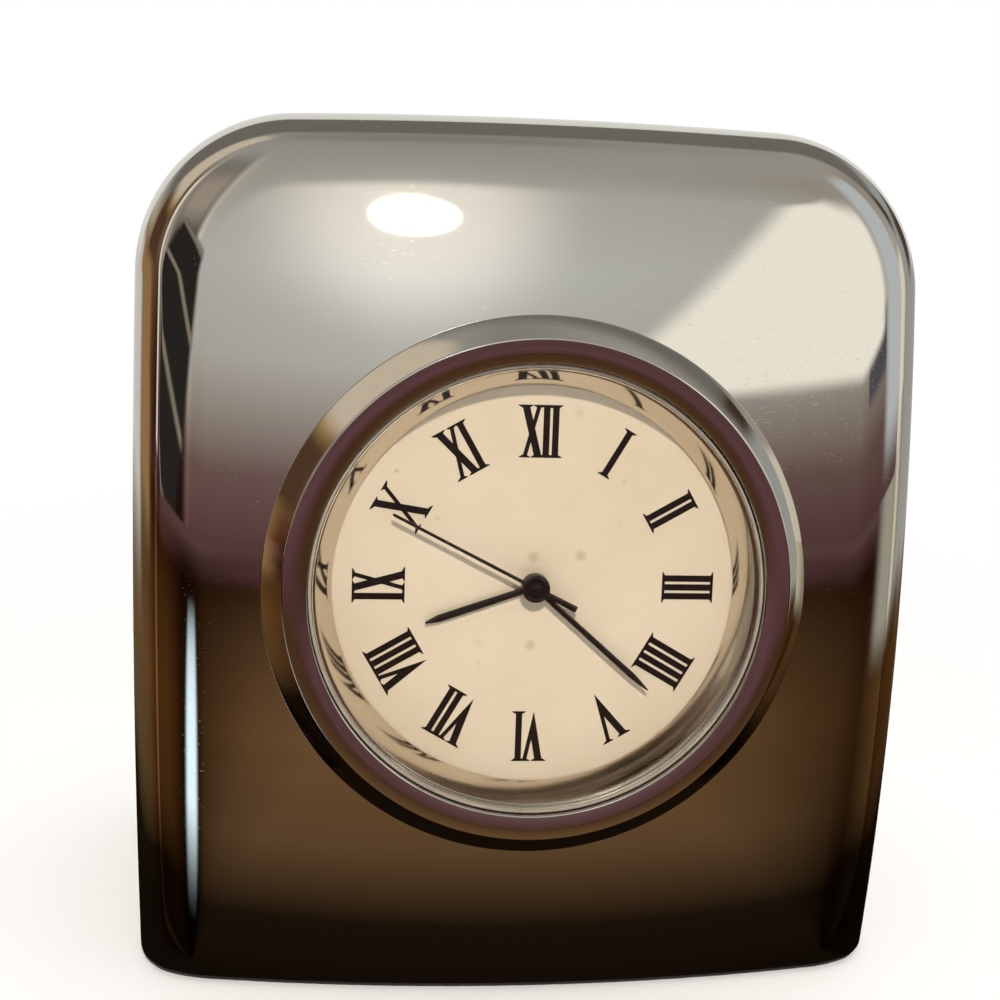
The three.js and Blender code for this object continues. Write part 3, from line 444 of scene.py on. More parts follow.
STEM = 0.43
SLANT_STEM = 0.5
HAIRLINE = 0.28
STEM_PITCH = 0.61
NUMERAL_HEIGHT = 3.5
NUMERAL_RADIUS = 10.42
SERIF = 0.24
SERIF_TIP = 0.05
SERIF_ROOT = 0.19
VEE_POINT = 0.42
INK = 0.015
INK_STEP = 0.06


def stroke(x0, x1, width):
    """A straight stroke from the foot at x0 to the head at x1, with level ends."""
    half, top = width / 2, NUMERAL_HEIGHT / 2
    return [[x0 - half, -top], [x0 + half, -top], [x1 + half, top], [x1 - half, top]]


def serif(left, right, end):
    """A bracketed serif over stems from left to right: a level outer edge, thin tips, a thicker middle."""
    edge = end * NUMERAL_HEIGHT / 2
    tip, root = edge - end * SERIF_TIP, edge - end * SERIF_ROOT
    return [
        [left - SERIF, edge], [right + SERIF, edge], [right + SERIF, tip], [right, root], [left, root],
        [left - SERIF, tip],
    ]


def stems(count, start):
    """Upright strokes side by side, joined by one serif at the head and one at the foot."""
    places = start + STEM_PITCH * np.arange(count)
    left, right = places[0] - STEM / 2, places[-1] + STEM / 2
    shapes = [stroke(x, x, STEM) for x in places]
    return [*shapes, serif(left, right, 1), serif(left, right, -1)]


def vee(start, width):
    """A V: a stem leans from the upper left to the foot and a hairline leans up to the right, and their
    outer edges meet in a point."""
    top = NUMERAL_HEIGHT / 2
    left, right = start - SLANT_STEM / 2, start + width + HAIRLINE / 2
    tip = start + VEE_POINT * width
    stem_share, hair_share = (w / (right - left) for w in (SLANT_STEM, HAIRLINE))
    stem_heel = [tip + stem_share * (right - tip), (2 * stem_share - 1) * top]
    hair_heel = [tip + hair_share * (left - tip), (2 * hair_share - 1) * top]
    return [
        [[tip, -top], stem_heel, [left + SLANT_STEM, top], [left, top]],
        [[tip, -top], [right, top], [right - HAIRLINE, top], hair_heel],
        serif(left, left + SLANT_STEM, 1), serif(right - HAIRLINE, right, 1),
    ]


def cross(start, width):
    """An X: a stem from the upper left to the lower right, crossed by a hairline."""
    end = start + width
    thick, thin = SLANT_STEM / 2, HAIRLINE / 2
    return [
        stroke(end, start, SLANT_STEM), stroke(start, end, HAIRLINE),
        serif(start - thick, start + thick, 1), serif(end - thin, end + thin, 1),
        serif(start - thin, start + thin, -1), serif(end - thick, end + thick, -1),
    ]


NUMERALS = {
    1: stems(1, 0), 2: stems(2, 0), 3: stems(3, 0), 4: stems(4, 0), 5: vee(0, 1.2),
    6: vee(0, 0.98) + stems(1, 1.42), 7: vee(0, 0.93) + stems(2, 1.36), 8: vee(0, 0.88) + stems(3, 1.3),
    9: stems(1, 0) + cross(0.56, 0.95), 10: cross(0, 1.35), 11: cross(0, 1.0) + stems(1, 1.56),
    12: cross(0, 0.92) + stems(2, 1.42),
}


def numeral(hour):
    """A printed numeral: each convex stroke is a thin prism, set with its foot towards the centre. Each
    lies a little higher than the one before, so that no two faces coincide."""
    shapes = [np.array(shape) for shape in NUMERALS[hour]]
    every = np.concatenate(shapes)
    middle = (every[:, 0].min() + every[:, 0].max()) / 2
    solids = []
    for order, shape in enumerate(shapes):
        flat = np.stack(clockwise(shape[:, 0] - middle, shape[:, 1] + NUMERAL_RADIUS, 30 * hour), 1)
        count = len(flat)
        low = at_height(flat, DIAL_TOP)
        high = at_height(flat, DIAL_TOP + INK * (1 + INK_STEP * order))
        ends = [np.arange(count)[::-1], np.arange(count) + count]
        solids.append((np.concatenate([low, high]), [*grid_faces(2, count), *ends]))
    return together(*solids)


# Materials

# Kinds of node that are used often
MATH = "ShaderNodeMath"
VECTOR_MATH = "ShaderNodeVectorMath"
MAP_RANGE = "ShaderNodeMapRange"
NOISE = "ShaderNodeTexNoise"
MAPPING = "ShaderNodeMapping"


def add(tree, kind, links=None, stops=(), **settings):
    """Adds a node, sets its properties and a ramp's stops, and links or sets its inputs. A node that is
    given for an input stands for its first output."""
    made = tree.nodes.new(kind)
    for key, value in settings.items():
        setattr(made, key, value)
    for order, (position, code) in enumerate(stops):
        held = made.color_ramp.elements
        stop = held[order] if order < 2 else held.new(position)
        stop.position, stop.color = position, linear(code)
    for key, value in (links or {}).items():
        if isinstance(value, bpy.types.Node):
            value = value.outputs[0]
        if isinstance(value, bpy.types.NodeSocket):
            tree.links.new(value, made.inputs[key])
        else:
            made.inputs[key].default_value = value
    return made


def new_material(name):
    """An empty material, its node tree, and the place on the object that its patterns lie on."""
    material = bpy.data.materials.new(name)
    material.use_nodes = True
    tree = material.node_tree
    tree.nodes.clear()
    return material, tree, add(tree, "ShaderNodeTexCoord").outputs["Object"]


def laid_over(tree, tone, code, *masks):
    """A tone with another laid over it where all the masks let it through."""
    share = masks[0]
    for mask in masks[1:]:
        share = add(tree, MATH, {0: share, 1: mask}, operation="MULTIPLY")
    return add(tree, "ShaderNodeMix", {0: share, 6: tone, 7: linear(code)}, data_type="RGBA").outputs[2]


def per_mm(size):
    """A texture scale, in metres of the object, whose pattern repeats about every size millimetres."""
    return 1 / (size * MM)


# The ways in which the plate was wiped: turn in radians, a scratch's length and width in millimetres, and
# the height of the noise at which it begins to show
SCRATCH_WAYS = [((0.3, 0.9, 0.5), 5, 0.07, 0.71), ((0.1, -0.7, -0.9), 4, 0.06, 0.72)]
DEEPEST_SCRATCH = 0.79
RING_PITCH = 0.12


def silver_plate(name, scratch_depth, turning=0.0, tone="#DAD7D1", haze=0.0):
    """Silver-coloured plate over metal, buffed to a mirror: clean reflections, a faint greasy bloom that
    widens them in patches, hairline handling scratches and a few pinhole pits. Turning leaves faint rings
    round the insert's axis, drawn far enough apart to show. Haze makes the whole plate duller."""
    material, tree, place = new_material(name)
    on_axis = add(tree, MAPPING, {
        "Vector": place, "Rotation": (FACE_LEAN - math.pi / 2, 0, 0), "Location": tuple(-FACE @ CENTRE),
    })
    level = add(tree, VECTOR_MATH, {0: on_axis, 1: (1, 1, 0)}, operation="MULTIPLY")
    radius = add(tree, VECTOR_MATH, {0: level}, operation="LENGTH")
    rings = add(tree, NOISE, {
        "W": radius.outputs["Value"], "Scale": per_mm(RING_PITCH), "Detail": 2.0,
    }, noise_dimensions="1D")
    bloom = add(tree, NOISE, {"Vector": place, "Scale": per_mm(9), "Detail": 3.0})
    scratches = 0.0
    for turn, length, width, faintest in SCRATCH_WAYS:
        laid = add(tree, MAPPING, {
            "Vector": place, "Rotation": turn, "Scale": (per_mm(length), per_mm(width), per_mm(width)),
        })
        hairs = add(tree, NOISE, {"Vector": laid, "Scale": 1.0, "Detail": 2.0})
        line = add(tree, MAP_RANGE, {0: hairs, 1: faintest, 2: DEEPEST_SCRATCH})
        scratches = add(tree, MATH, {0: scratches, 1: line}, operation="MAXIMUM")
    cells = add(tree, "ShaderNodeTexVoronoi", {"Vector": place, "Scale": per_mm(2.6)})
    chosen = add(tree, "ShaderNodeSeparateColor", {0: cells.outputs["Color"]})
    rare = add(tree, MAP_RANGE, {0: chosen, 1: 0.93, 2: 0.96})
    pit_dot = add(tree, MAP_RANGE, {0: cells.outputs["Distance"], 1: 0.03, 2: 0.05, 3: 1.0, 4: 0.0})
    pits = add(tree, MATH, {0: rare, 1: pit_dot}, operation="MULTIPLY")
    base_rough = add(tree, MAP_RANGE, {0: bloom, 1: 0.42, 2: 0.72, 3: 0.022 + haze, 4: 0.06 + haze})
    scratch_rough = add(tree, MATH, {0: scratches, 1: 0.1, 2: base_rough}, operation="MULTIPLY_ADD")
    rough = add(tree, MATH, {0: pits, 1: 0.4, 2: scratch_rough}, operation="MULTIPLY_ADD")
    colour = laid_over(tree, linear(tone), "#7D756B", pits)
    relief = add(tree, MATH, {0: scratches, 1: pits})
    relief = add(tree, MATH, {0: rings, 1: turning, 2: relief}, operation="MULTIPLY_ADD")
    bump = add(tree, "ShaderNodeBump", {
        "Height": relief, "Strength": scratch_depth, "Distance": 0.002 * MM,
    }, invert=True)
    shader = add(tree, "ShaderNodeBsdfPrincipled", {
        "Base Color": colour, "Roughness": rough, "Metallic": 1.0, "Normal": bump,
    })
    add(tree, "ShaderNodeOutputMaterial", {"Surface": shader})
    return material


def ivory_paint():
    """Matte ivory lacquer on a stamped dial: even and chalky, with a fine tooth, slow yellowing and a few
    small damp spots."""
    material, tree, place = new_material("ivory_dial_paint")
    slow = add(tree, NOISE, {"Vector": place, "Scale": per_mm(7), "Detail": 4.0})
    tooth = add(tree, NOISE, {"Vector": place, "Scale": per_mm(0.16), "Detail": 2.0})
    yellowing = add(tree, MAP_RANGE, {0: slow, 1: 0.35, 2: 0.7})
    ground = laid_over(tree, linear("#EBD7C1"), "#E4CFB7", yellowing)
    flat = add(tree, MAPPING, {"Vector": place, "Rotation": (-math.pi / 2, 0, 0)})
    cells = add(tree, "ShaderNodeTexVoronoi", {
        "Vector": flat, "Scale": per_mm(3.1),
    }, voronoi_dimensions="2D")
    chosen = add(tree, "ShaderNodeSeparateColor", {0: cells.outputs["Color"]})
    rare = add(tree, MAP_RANGE, {0: chosen, 1: 0.74, 2: 1.0, 3: 0.0, 4: 0.5})
    reach = add(tree, MAP_RANGE, {0: chosen.outputs[1], 3: 0.8, 4: 2.6})
    away = add(tree, MATH, {0: cells.outputs["Distance"], 1: reach}, operation="MULTIPLY")
    spot = add(tree, MAP_RANGE, {
        0: away, 1: 0.03, 2: 0.19, 3: 1.0, 4: 0.0,
    }, interpolation_type="SMOOTHSTEP")
    colour = laid_over(tree, ground, "#A88F6C", rare, spot)
    bump = add(tree, "ShaderNodeBump", {"Height": tooth, "Strength": 0.25, "Distance": 0.01 * MM})
    shader = add(tree, "ShaderNodeBsdfPrincipled", {
        "Base Color": colour, "Roughness": 0.72, "Specular IOR Level": 0.3, "Normal": bump,
    })
    add(tree, "ShaderNodeOutputMaterial", {"Surface": shader})
    return material


def seen_directly(tree):
    """One on the way to the camera, also over a mirror or through the glass; nought for scattered light."""
    path = add(tree, "ShaderNodeLightPath")
    seen = path.outputs["Is Camera Ray"]
    for way in ("Is Glossy Ray", "Is Transmission Ray"):
        seen = add(tree, MATH, {0: seen, 1: path.outputs[way]}, operation="MAXIMUM")
    return seen


def clear_glass():
    """Flat mineral glass: clear, with a faint film that breaks up its reflections. Lamps shine through."""
    material, tree, place = new_material("mineral_glass")
    film = add(tree, NOISE, {"Vector": place, "Scale": per_mm(6), "Detail": 3.0})
    rough = add(tree, MAP_RANGE, {0: film, 1: 0.4, 2: 0.7, 3: 0.0, 4: 0.012})
    glass = add(tree, "ShaderNodeBsdfPrincipled", {
        "Base Color": linear("#FDFEFD"), "Roughness": rough, "IOR": 1.5, "Transmission Weight": 1.0,
    })
    through = add(tree, "ShaderNodeBsdfTransparent", {"Color": linear("#F5F7F5")})
    path = add(tree, "ShaderNodeLightPath")
    lit = add(tree, MATH, {
        0: path.outputs["Is Shadow Ray"], 1: path.outputs["Is Diffuse Ray"],
    }, operation="MAXIMUM")
    mix = add(tree, "ShaderNodeMixShader", {0: lit, 1: glass, 2: through})
    add(tree, "ShaderNodeOutputMaterial", {"Surface": mix})
    return material


def grained(
    name, light, dark, grain, roughness, metallic=0.0, relief=0.3, stretch=(1, 1, 1), specular=0.5,
):
    """A finish with a grain: noise of the given size in millimetres, stretched along an axis where the
    surface was drawn or brushed, moves the colour between two tones, and roughness and relief with it."""
    material, tree, place = new_material(name)
    laid = add(tree, MAPPING, {
        "Vector": place, "Scale": tuple(per_mm(grain) / along for along in stretch),
    })
    noise = add(tree, NOISE, {"Vector": laid, "Scale": 1.0, "Detail": 3.0})
    tone = add(tree, MAP_RANGE, {0: noise, 1: 0.3, 2: 0.7})
    colour = laid_over(tree, linear(dark), light, tone)
    rough = add(tree, MAP_RANGE, {0: noise, 1: 0.3, 2: 0.7, 3: roughness * 1.15, 4: roughness * 0.85})
    bump = add(tree, "ShaderNodeBump", {"Height": noise, "Strength": relief, "Distance": 0.02 * MM})
    shader = add(tree, "ShaderNodeBsdfPrincipled", {
        "Base Color": colour, "Roughness": rough, "Metallic": metallic, "Specular IOR Level": specular,
        "Normal": bump,
    })
    add(tree, "ShaderNodeOutputMaterial", {"Surface": shader})
    return material


plate = silver_plate("silver_plate_buffed", 0.6)
bezel_plate = silver_plate("silver_plate_turned", 0.4, 1.2)
reflector_plate = silver_plate("silver_plate_hazed", 0.2, 0.0, "#D6CCBE", 0.06)
dial_paint = ivory_paint()
glass = clear_glass()
ink = grained("printing_ink", "#1A1411", "#110D0B", 0.2, 0.7, relief=0.1, specular=0.12)
lacquer = grained("black_lacquer", "#17130F", "#0D0A08", 0.5, 0.14, relief=0.05)
vinyl = grained("gasket_vinyl", "#A89E90", "#92887A", 1.5, 0.28, relief=0.05)
moulded_black = grained("moulded_black_abs", "#202022", "#161617", 0.25, 0.5, relief=0.25)
moulded_pale = grained("moulded_pale_abs", "#DDDAD1", "#CFCBC0", 0.3, 0.5, relief=0.2)
soft_rubber = grained("soft_rubber", "#1C1C1C", "#121212", 0.3, 0.8, relief=0.2, specular=0.3)
felt = grained("pressed_felt", "#2A2827", "#121110", 0.35, 1.0, relief=1.0, specular=0.1)
stamped_brass = grained("stamped_brass", "#CDB06A", "#B8964C", 0.3, 0.32, 1.0, 0.15, (8, 1, 1))
turned_steel = grained("turned_steel", "#B9BBBC", "#9A9C9E", 0.2, 0.3, 1.0, 0.15, (6, 1, 1))
copper_winding = grained("enamelled_copper", "#B86A38", "#8E4A22", 0.12, 0.35, 1.0, 0.4, (1, 12, 1))
laminate = grained("circuit_laminate", "#31633F", "#275236", 0.4, 0.55, relief=0.2)

# Body and base

make_piece(
    "clock_body", *body_skin(), plate, "case", "plated_metal", ["body_shell"],
    planes=[((0, 0, RIM_LIFT * MM), (0, 0, -1))], bridge=True,
)
make_piece(
    "felt_foot", *hollow_slab(PLATE_CLEARANCE), felt, "case", "felt", ["felt_pad"],
    planes=[((0, 0, 0), (0, 0, -1)), ((0, 0, FELT_THICKNESS * MM), (0, 0, 1))],
)
make_piece(
    "bottom_plate", *hollow_slab(PLATE_CLEARANCE), turned_steel, "case", "steel", ["base_plate"],
    planes=[((0, 0, PLATE_LOW * MM), (0, 0, -1)), ((0, 0, PLATE_HIGH * MM), (0, 0, 1))],
)

# Insert


def turned_piece(name, profile, material, slot, replaced, segments=192, closed=True):
    """A turned piece of the insert, placed on the face. An open profile starts and ends on the axis."""
    points, faces = turned(profile, segments, closed)
    return make_piece(name, on_face(points), faces, material, "insert", slot, replaced)


turned_piece("bezel", rounded(
    [[BEZEL_RADIUS, 0], [BEZEL_RADIUS, BEZEL_EDGE], [RIDGE_RADIUS, RIDGE_HEIGHT],
     [BAND_INNER_RADIUS, BAND_INNER_HEIGHT], [BAND_INNER_RADIUS, BEZEL_LEDGE], [SKIRT_INNER, BEZEL_LEDGE],
     [SKIRT_INNER, SKIRT_END], [SKIRT_OUTER, SKIRT_END], [SKIRT_OUTER, 0]],
    [0.08, 0.12, 0.1, 0.12, 0, 0, 0.1, 0.1, 0],
), bezel_plate, "plated_metal", ["bezel_ring"], 256)
turned_piece("crystal", rounded(
    [[0, LENS_BOTTOM], [LENS_RADIUS, LENS_BOTTOM], [LENS_RADIUS, LENS_TOP], [0, LENS_TOP]],
    [0, 0.05, 0.12, 0],
), glass, "clear_lens", ["lens"], 192, False)
turned_piece("crystal_gasket", rounded(
    [[GASKET_INNER, GASKET_BOTTOM], [GASKET_OUTER, GASKET_BOTTOM], [GASKET_OUTER, LENS_TOP],
     [GASKET_INNER, LENS_TOP]],
    [0.02, 0.02, 0.09, 0.09],
), vinyl, "pale_plastic", ["lens_gasket"])
turned_piece("reflector_ring", rounded(
    [[DIAL_OPENING, REFLECTOR_FOOT], [DIAL_RADIUS, REFLECTOR_FOOT], [DIAL_RADIUS, 0], [REFLECTOR_OUTER, 0],
     [REFLECTOR_OUTER, GASKET_BOTTOM], [REFLECTOR_TOP, GASKET_BOTTOM], [DIAL_OPENING, REFLECTOR_EDGE]],
    [0, 0, 0.05, 0, 0.05, 0.06, 0.03],
), reflector_plate, "plated_metal", ["rehaut_ring"])
turned_piece("dial", rounded(
    [[DIAL_HOLE, DIAL_BOTTOM], [DIAL_RADIUS, DIAL_BOTTOM], [DIAL_RADIUS, DIAL_TOP], [DIAL_HOLE, DIAL_TOP]],
    [0, 0.05, 0.05, 0.05],
), dial_paint, "dial_paint", ["dial_plate"])
turned_piece("insert_cup", rounded(
    [[CUP_MOUTH, CASE_LIP], [CUP_MOUTH, CUP_STEP], [CUP_INNER, CUP_STEP], [CUP_INNER, CASE_END],
     [CASE_RADIUS, CASE_END], [CASE_RADIUS, CASE_LIP]],
    [0.08, 0, 0.1, 0.1, 0.25, 0.08],
), moulded_black, "black_plastic", ["insert_case"])
turned_piece("insert_lid", rounded(
    [[0, LID_BOTTOM], [CASE_RADIUS, LID_BOTTOM], [CASE_RADIUS, LID_TOP], [LID_PLUG_RADIUS, LID_TOP],
     [LID_PLUG_RADIUS, LID_PLUG_TOP], [0, LID_PLUG_TOP]],
    [0, 0.3, 0.1, 0, 0.1, 0],
), moulded_black, "black_plastic", ["case_back"], 192, False)
turned_piece("rubber_band", rounded(
    [[GRIP_INNER, GRIP_FROM], [GRIP_OUTER, GRIP_FROM], [GRIP_OUTER, GRIP_TO], [GRIP_INNER, GRIP_TO]],
    [0.02, 0.12, 0.12, 0.02],
), soft_rubber, "rubber", ["grip_band"])

numerals = together(*(numeral(hour) for hour in range(1, 13)))
make_piece("dial_numerals", on_face(numerals[0]), numerals[1], ink, "insert", "black_lacquer")

# Hands

# Shares of a hand's length, and of its half width there
HAND_STATIONS = [
    (0.07, 0.92), (0.09, 0.92), (0.5, 1.0), (0.87, 1.03), (0.935, 0.68), (0.985, 0.34), (1, 0.2),
]
for body, hand in (("hour", HOUR_HAND), ("minute", MINUTE_HAND)):
    stations = [(share, width * hand["half"]) for share, width in HAND_STATIONS]
    points, faces = together(
        blade(hand["length"], hand["low"], stations, hand["angle"]), hub(hand["low"], hand["hole"]),
    )
    name = f"{body}_hand"
    make_piece(f"{name}_blade", on_face(points), faces, lacquer, body, "black_lacquer", [name])

SECONDS_TAIL = 3.1
ARBOR_HOLE = [0.25, 0.37]
STUD = [0.36, 0.45]
RIM_HALF = 0.19
RIM_LOW = 0.12

tail_share = -SECONDS_TAIL / SECONDS_HAND["length"]
needle = [(0.05, 0.12), (0.3, 0.115), (0.985, 0.1), (1, 0.06)]
tail = [(tail_share, 0.21), (tail_share * 0.98, 0.22), (-0.07, 0.2)]
arc = np.linspace(0, np.pi, 13)[:, None]
rim = [HUB_RADIUS - RIM_HALF, RIM_LOW] + RIM_HALF * np.concatenate([np.cos(arc), np.sin(arc)], 1)
boss = np.concatenate([
    [[0, ARBOR_HOLE[1]], ARBOR_HOLE, [ARBOR_HOLE[0], 0], [HUB_RADIUS, 0]], rim,
    rounded([[STUD[0], RIM_LOW], STUD, [0, STUD[1] + 0.02]], [0, 0.14, 0]),
])
points, faces = together(
    blade(SECONDS_HAND["length"], SECONDS_HAND["low"], needle, SECONDS_HAND["angle"]),
    blade(SECONDS_HAND["length"], SECONDS_HAND["low"], tail, SECONDS_HAND["angle"]),
    turned(boss + [0, SECONDS_HAND["low"]], 64, False),
)
make_piece(
    "seconds_hand_needle", on_face(points), faces, lacquer, "seconds", "black_lacquer", ["seconds_hand"],
)

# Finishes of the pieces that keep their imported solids

kept_finishes = {
    turned_steel: [
        "base_screw_left", "base_screw_right", "bridge_screw_1", "bridge_screw_2", "bridge_screw_3",
        "stator", "rotor", "cannon_pinion", "crystal_can", "button_cell", "battery_clip", "clip_screw",
        "setting_stem", "sliding_pinion", "setting_lever",
    ],
    stamped_brass: [
        "main_plate", "seconds_wheel", "third_wheel", "centre_wheel", "minute_wheel", "hour_wheel",
        "setting_wheel",
    ],
    moulded_pale: ["train_bridge", "intermediate_wheel"],
    copper_winding: ["coil"],
    laminate: ["circuit_board"],
    plate: ["crown"],
}
for material, nodes in kept_finishes.items():
    for node in nodes:
        materials = frame["nodes"][node].data.materials
        materials.clear()
        materials.append(material)

# Stage: a wide pale floor, and soft cards that only mirror-like surfaces see. Sizes in metres.

FLOOR_HALF = 6
FLOOR_POINTS = 13
ROOM = 1.5
SHELL_ROWS = 33
SHELL_COLUMNS = 64
TABLE_LIFT = 0.0002
# Half sizes of the foot that shades the table, and of the place between the corners where its strips begin
FOOT_HALF = (0.66 * BODY_WIDTH * MM, BASE_DEPTH / 2 * MM, 0)
CORNER_HALF = (0.447 * BODY_WIDTH * MM, BASE_DEPTH / 2 * MM, 0)


def stage_mesh(name, points, faces, material):
    """A piece of the studio, which isn't part of the object."""
    card = new_object(name, points, faces, material)
    smooth(card.data)
    return card


def mirror_only(card):
    """Leaves a card to be seen in reflections alone, also in those behind the glass."""
    for way in ("camera", "diffuse", "shadow", "volume_scatter"):
        setattr(card, f"visible_{way}", False)


def pale_floor():
    """A pale matte floor, which goes over into the white of the backdrop away from the clock."""
    material, tree, place = new_material("pale_floor")
    cloud = add(tree, NOISE, {"Vector": place, "Scale": 3.0, "Detail": 2.0})
    colour = laid_over(tree, linear("#F6F7F9"), "#F9FAFC", cloud)
    matte = add(tree, "ShaderNodeBsdfDiffuse", {"Color": colour})
    white = add(tree, "ShaderNodeEmission", {"Color": (1, 1, 1, 1), "Strength": 1.0})
    away = add(tree, VECTOR_MATH, {0: place}, operation="LENGTH")
    far = add(tree, MAP_RANGE, {
        0: away.outputs["Value"], 1: 0.035, 2: 0.12,
    }, interpolation_type="SMOOTHSTEP")
    share = add(tree, MATH, {0: far, 1: seen_directly(tree)}, operation="MULTIPLY")
    mix = add(tree, "ShaderNodeMixShader", {0: share, 1: matte, 2: white})
    add(tree, "ShaderNodeOutputMaterial", {"Surface": mix})
    return material


def within(tree, value, low, high, soft):
    """One between the two limits and nought outside them, with edges that are soft on both sides."""
    enter = add(tree, MAP_RANGE, {
        0: value, 1: low - soft, 2: low + soft,
    }, interpolation_type="SMOOTHSTEP")
    leave = add(tree, MAP_RANGE, {
        0: value, 1: high - soft, 2: high + soft, 3: 1.0, 4: 0.0,
    }, interpolation_type="SMOOTHSTEP")
    return add(tree, MATH, {0: enter, 1: leave}, operation="MULTIPLY")


def by_turn(tree, turn, tones):
    """A ramp of tones round the clock: the back, the left, the front, the right and the back again."""
    share = add(tree, MAP_RANGE, {0: turn, 1: -180.0, 2: 180.0})
    return add(tree, "ShaderNodeValToRGB", {0: share}, tones)


# Tones of the studio's shell: by height, as the sine of the elevation from -1 to 1 laid on 0 to 1, and by
# turn from the back over the left, the front (0.5) and the right to the back
HEIGHT_TONES = [
    (0.0, "#5A4A42"), (1.0, "#7E7B77"), (0.5, "#583F40"), (0.552, "#6C5654"), (0.595, "#928B86"),
    (0.638, "#B0AFAC"), (0.703, "#B8BABA"), (0.765, "#ACABA7"), (0.854, "#A19F9A"), (0.924, "#96938E"),
    (0.983, "#8C8984"),
]
TURN_TONES = [
    (0.0, "#E8E8E8"), (1.0, "#E8E8E8"), (0.111, "#E0DDD8"), (0.18, "#B9A07A"), (0.236, "#C8A76F"),
    (0.265, "#6A5540"), (0.294, "#8A7258"), (0.322, "#C5BDB2"), (0.339, "#4A4038"), (0.389, "#55493F"),
    (0.4, "#F2F0EA"), (0.408, "#D2D0CB"), (0.433, "#CCCAC6"), (0.486, "#DADADA"), (0.556, "#CCCBC8"),
    (0.625, "#BCB8B2"), (0.694, "#C4C0B8"), (0.77, "#B8B2AA"), (0.889, "#D5D3CE"),
]
# Soft-edged areas of the shell, in degrees: turn from and to, rise from and to, softness, tone
ROOM_AREAS = [
    (-61, -38, 31, 47, 6, "#7C746B"), (-113, -88, 34, 72, 4, "#A09686"), (-113, -88, 8, 30, 4, "#3E2C20"),
    (-124, -97, -12, 9, 4, "#755A3C"), (-150, -124, -20, 8, 3, "#A09890"), (62, 78, 3.2, 46, 3, "#94999C"),
    (78, 101, -8, 19, 3, "#B1ADA0"), (101, 138, -8, 32, 4, "#7A7C7A"), (116, 150, 5, 19, 3, "#3B3029"),
    (44, 61, 10, 15, 0.8, "#3E3D42"), (103, 112, 22, 33, 3.5, "#33261C"),
]
# Slants: of the shelf's sides and of the wall's edge in turn for each degree of rise, of the shelf's boards
# in rise for each degree of turn, and the stretch over which the boards repeat
SHELF_SLANT = -0.75
WALL_SLANT = -1.44
BOARD_SLANT = 0.3
BOARD_FROM = -11.8
BOARD_TO = -0.8
LAMP_TURN = -4
LAMP_RISE = 28.9
LAMP_WIDTH = 8.6
LAMP_HEIGHT = 3.2
ROOM_GLOW = 2.0


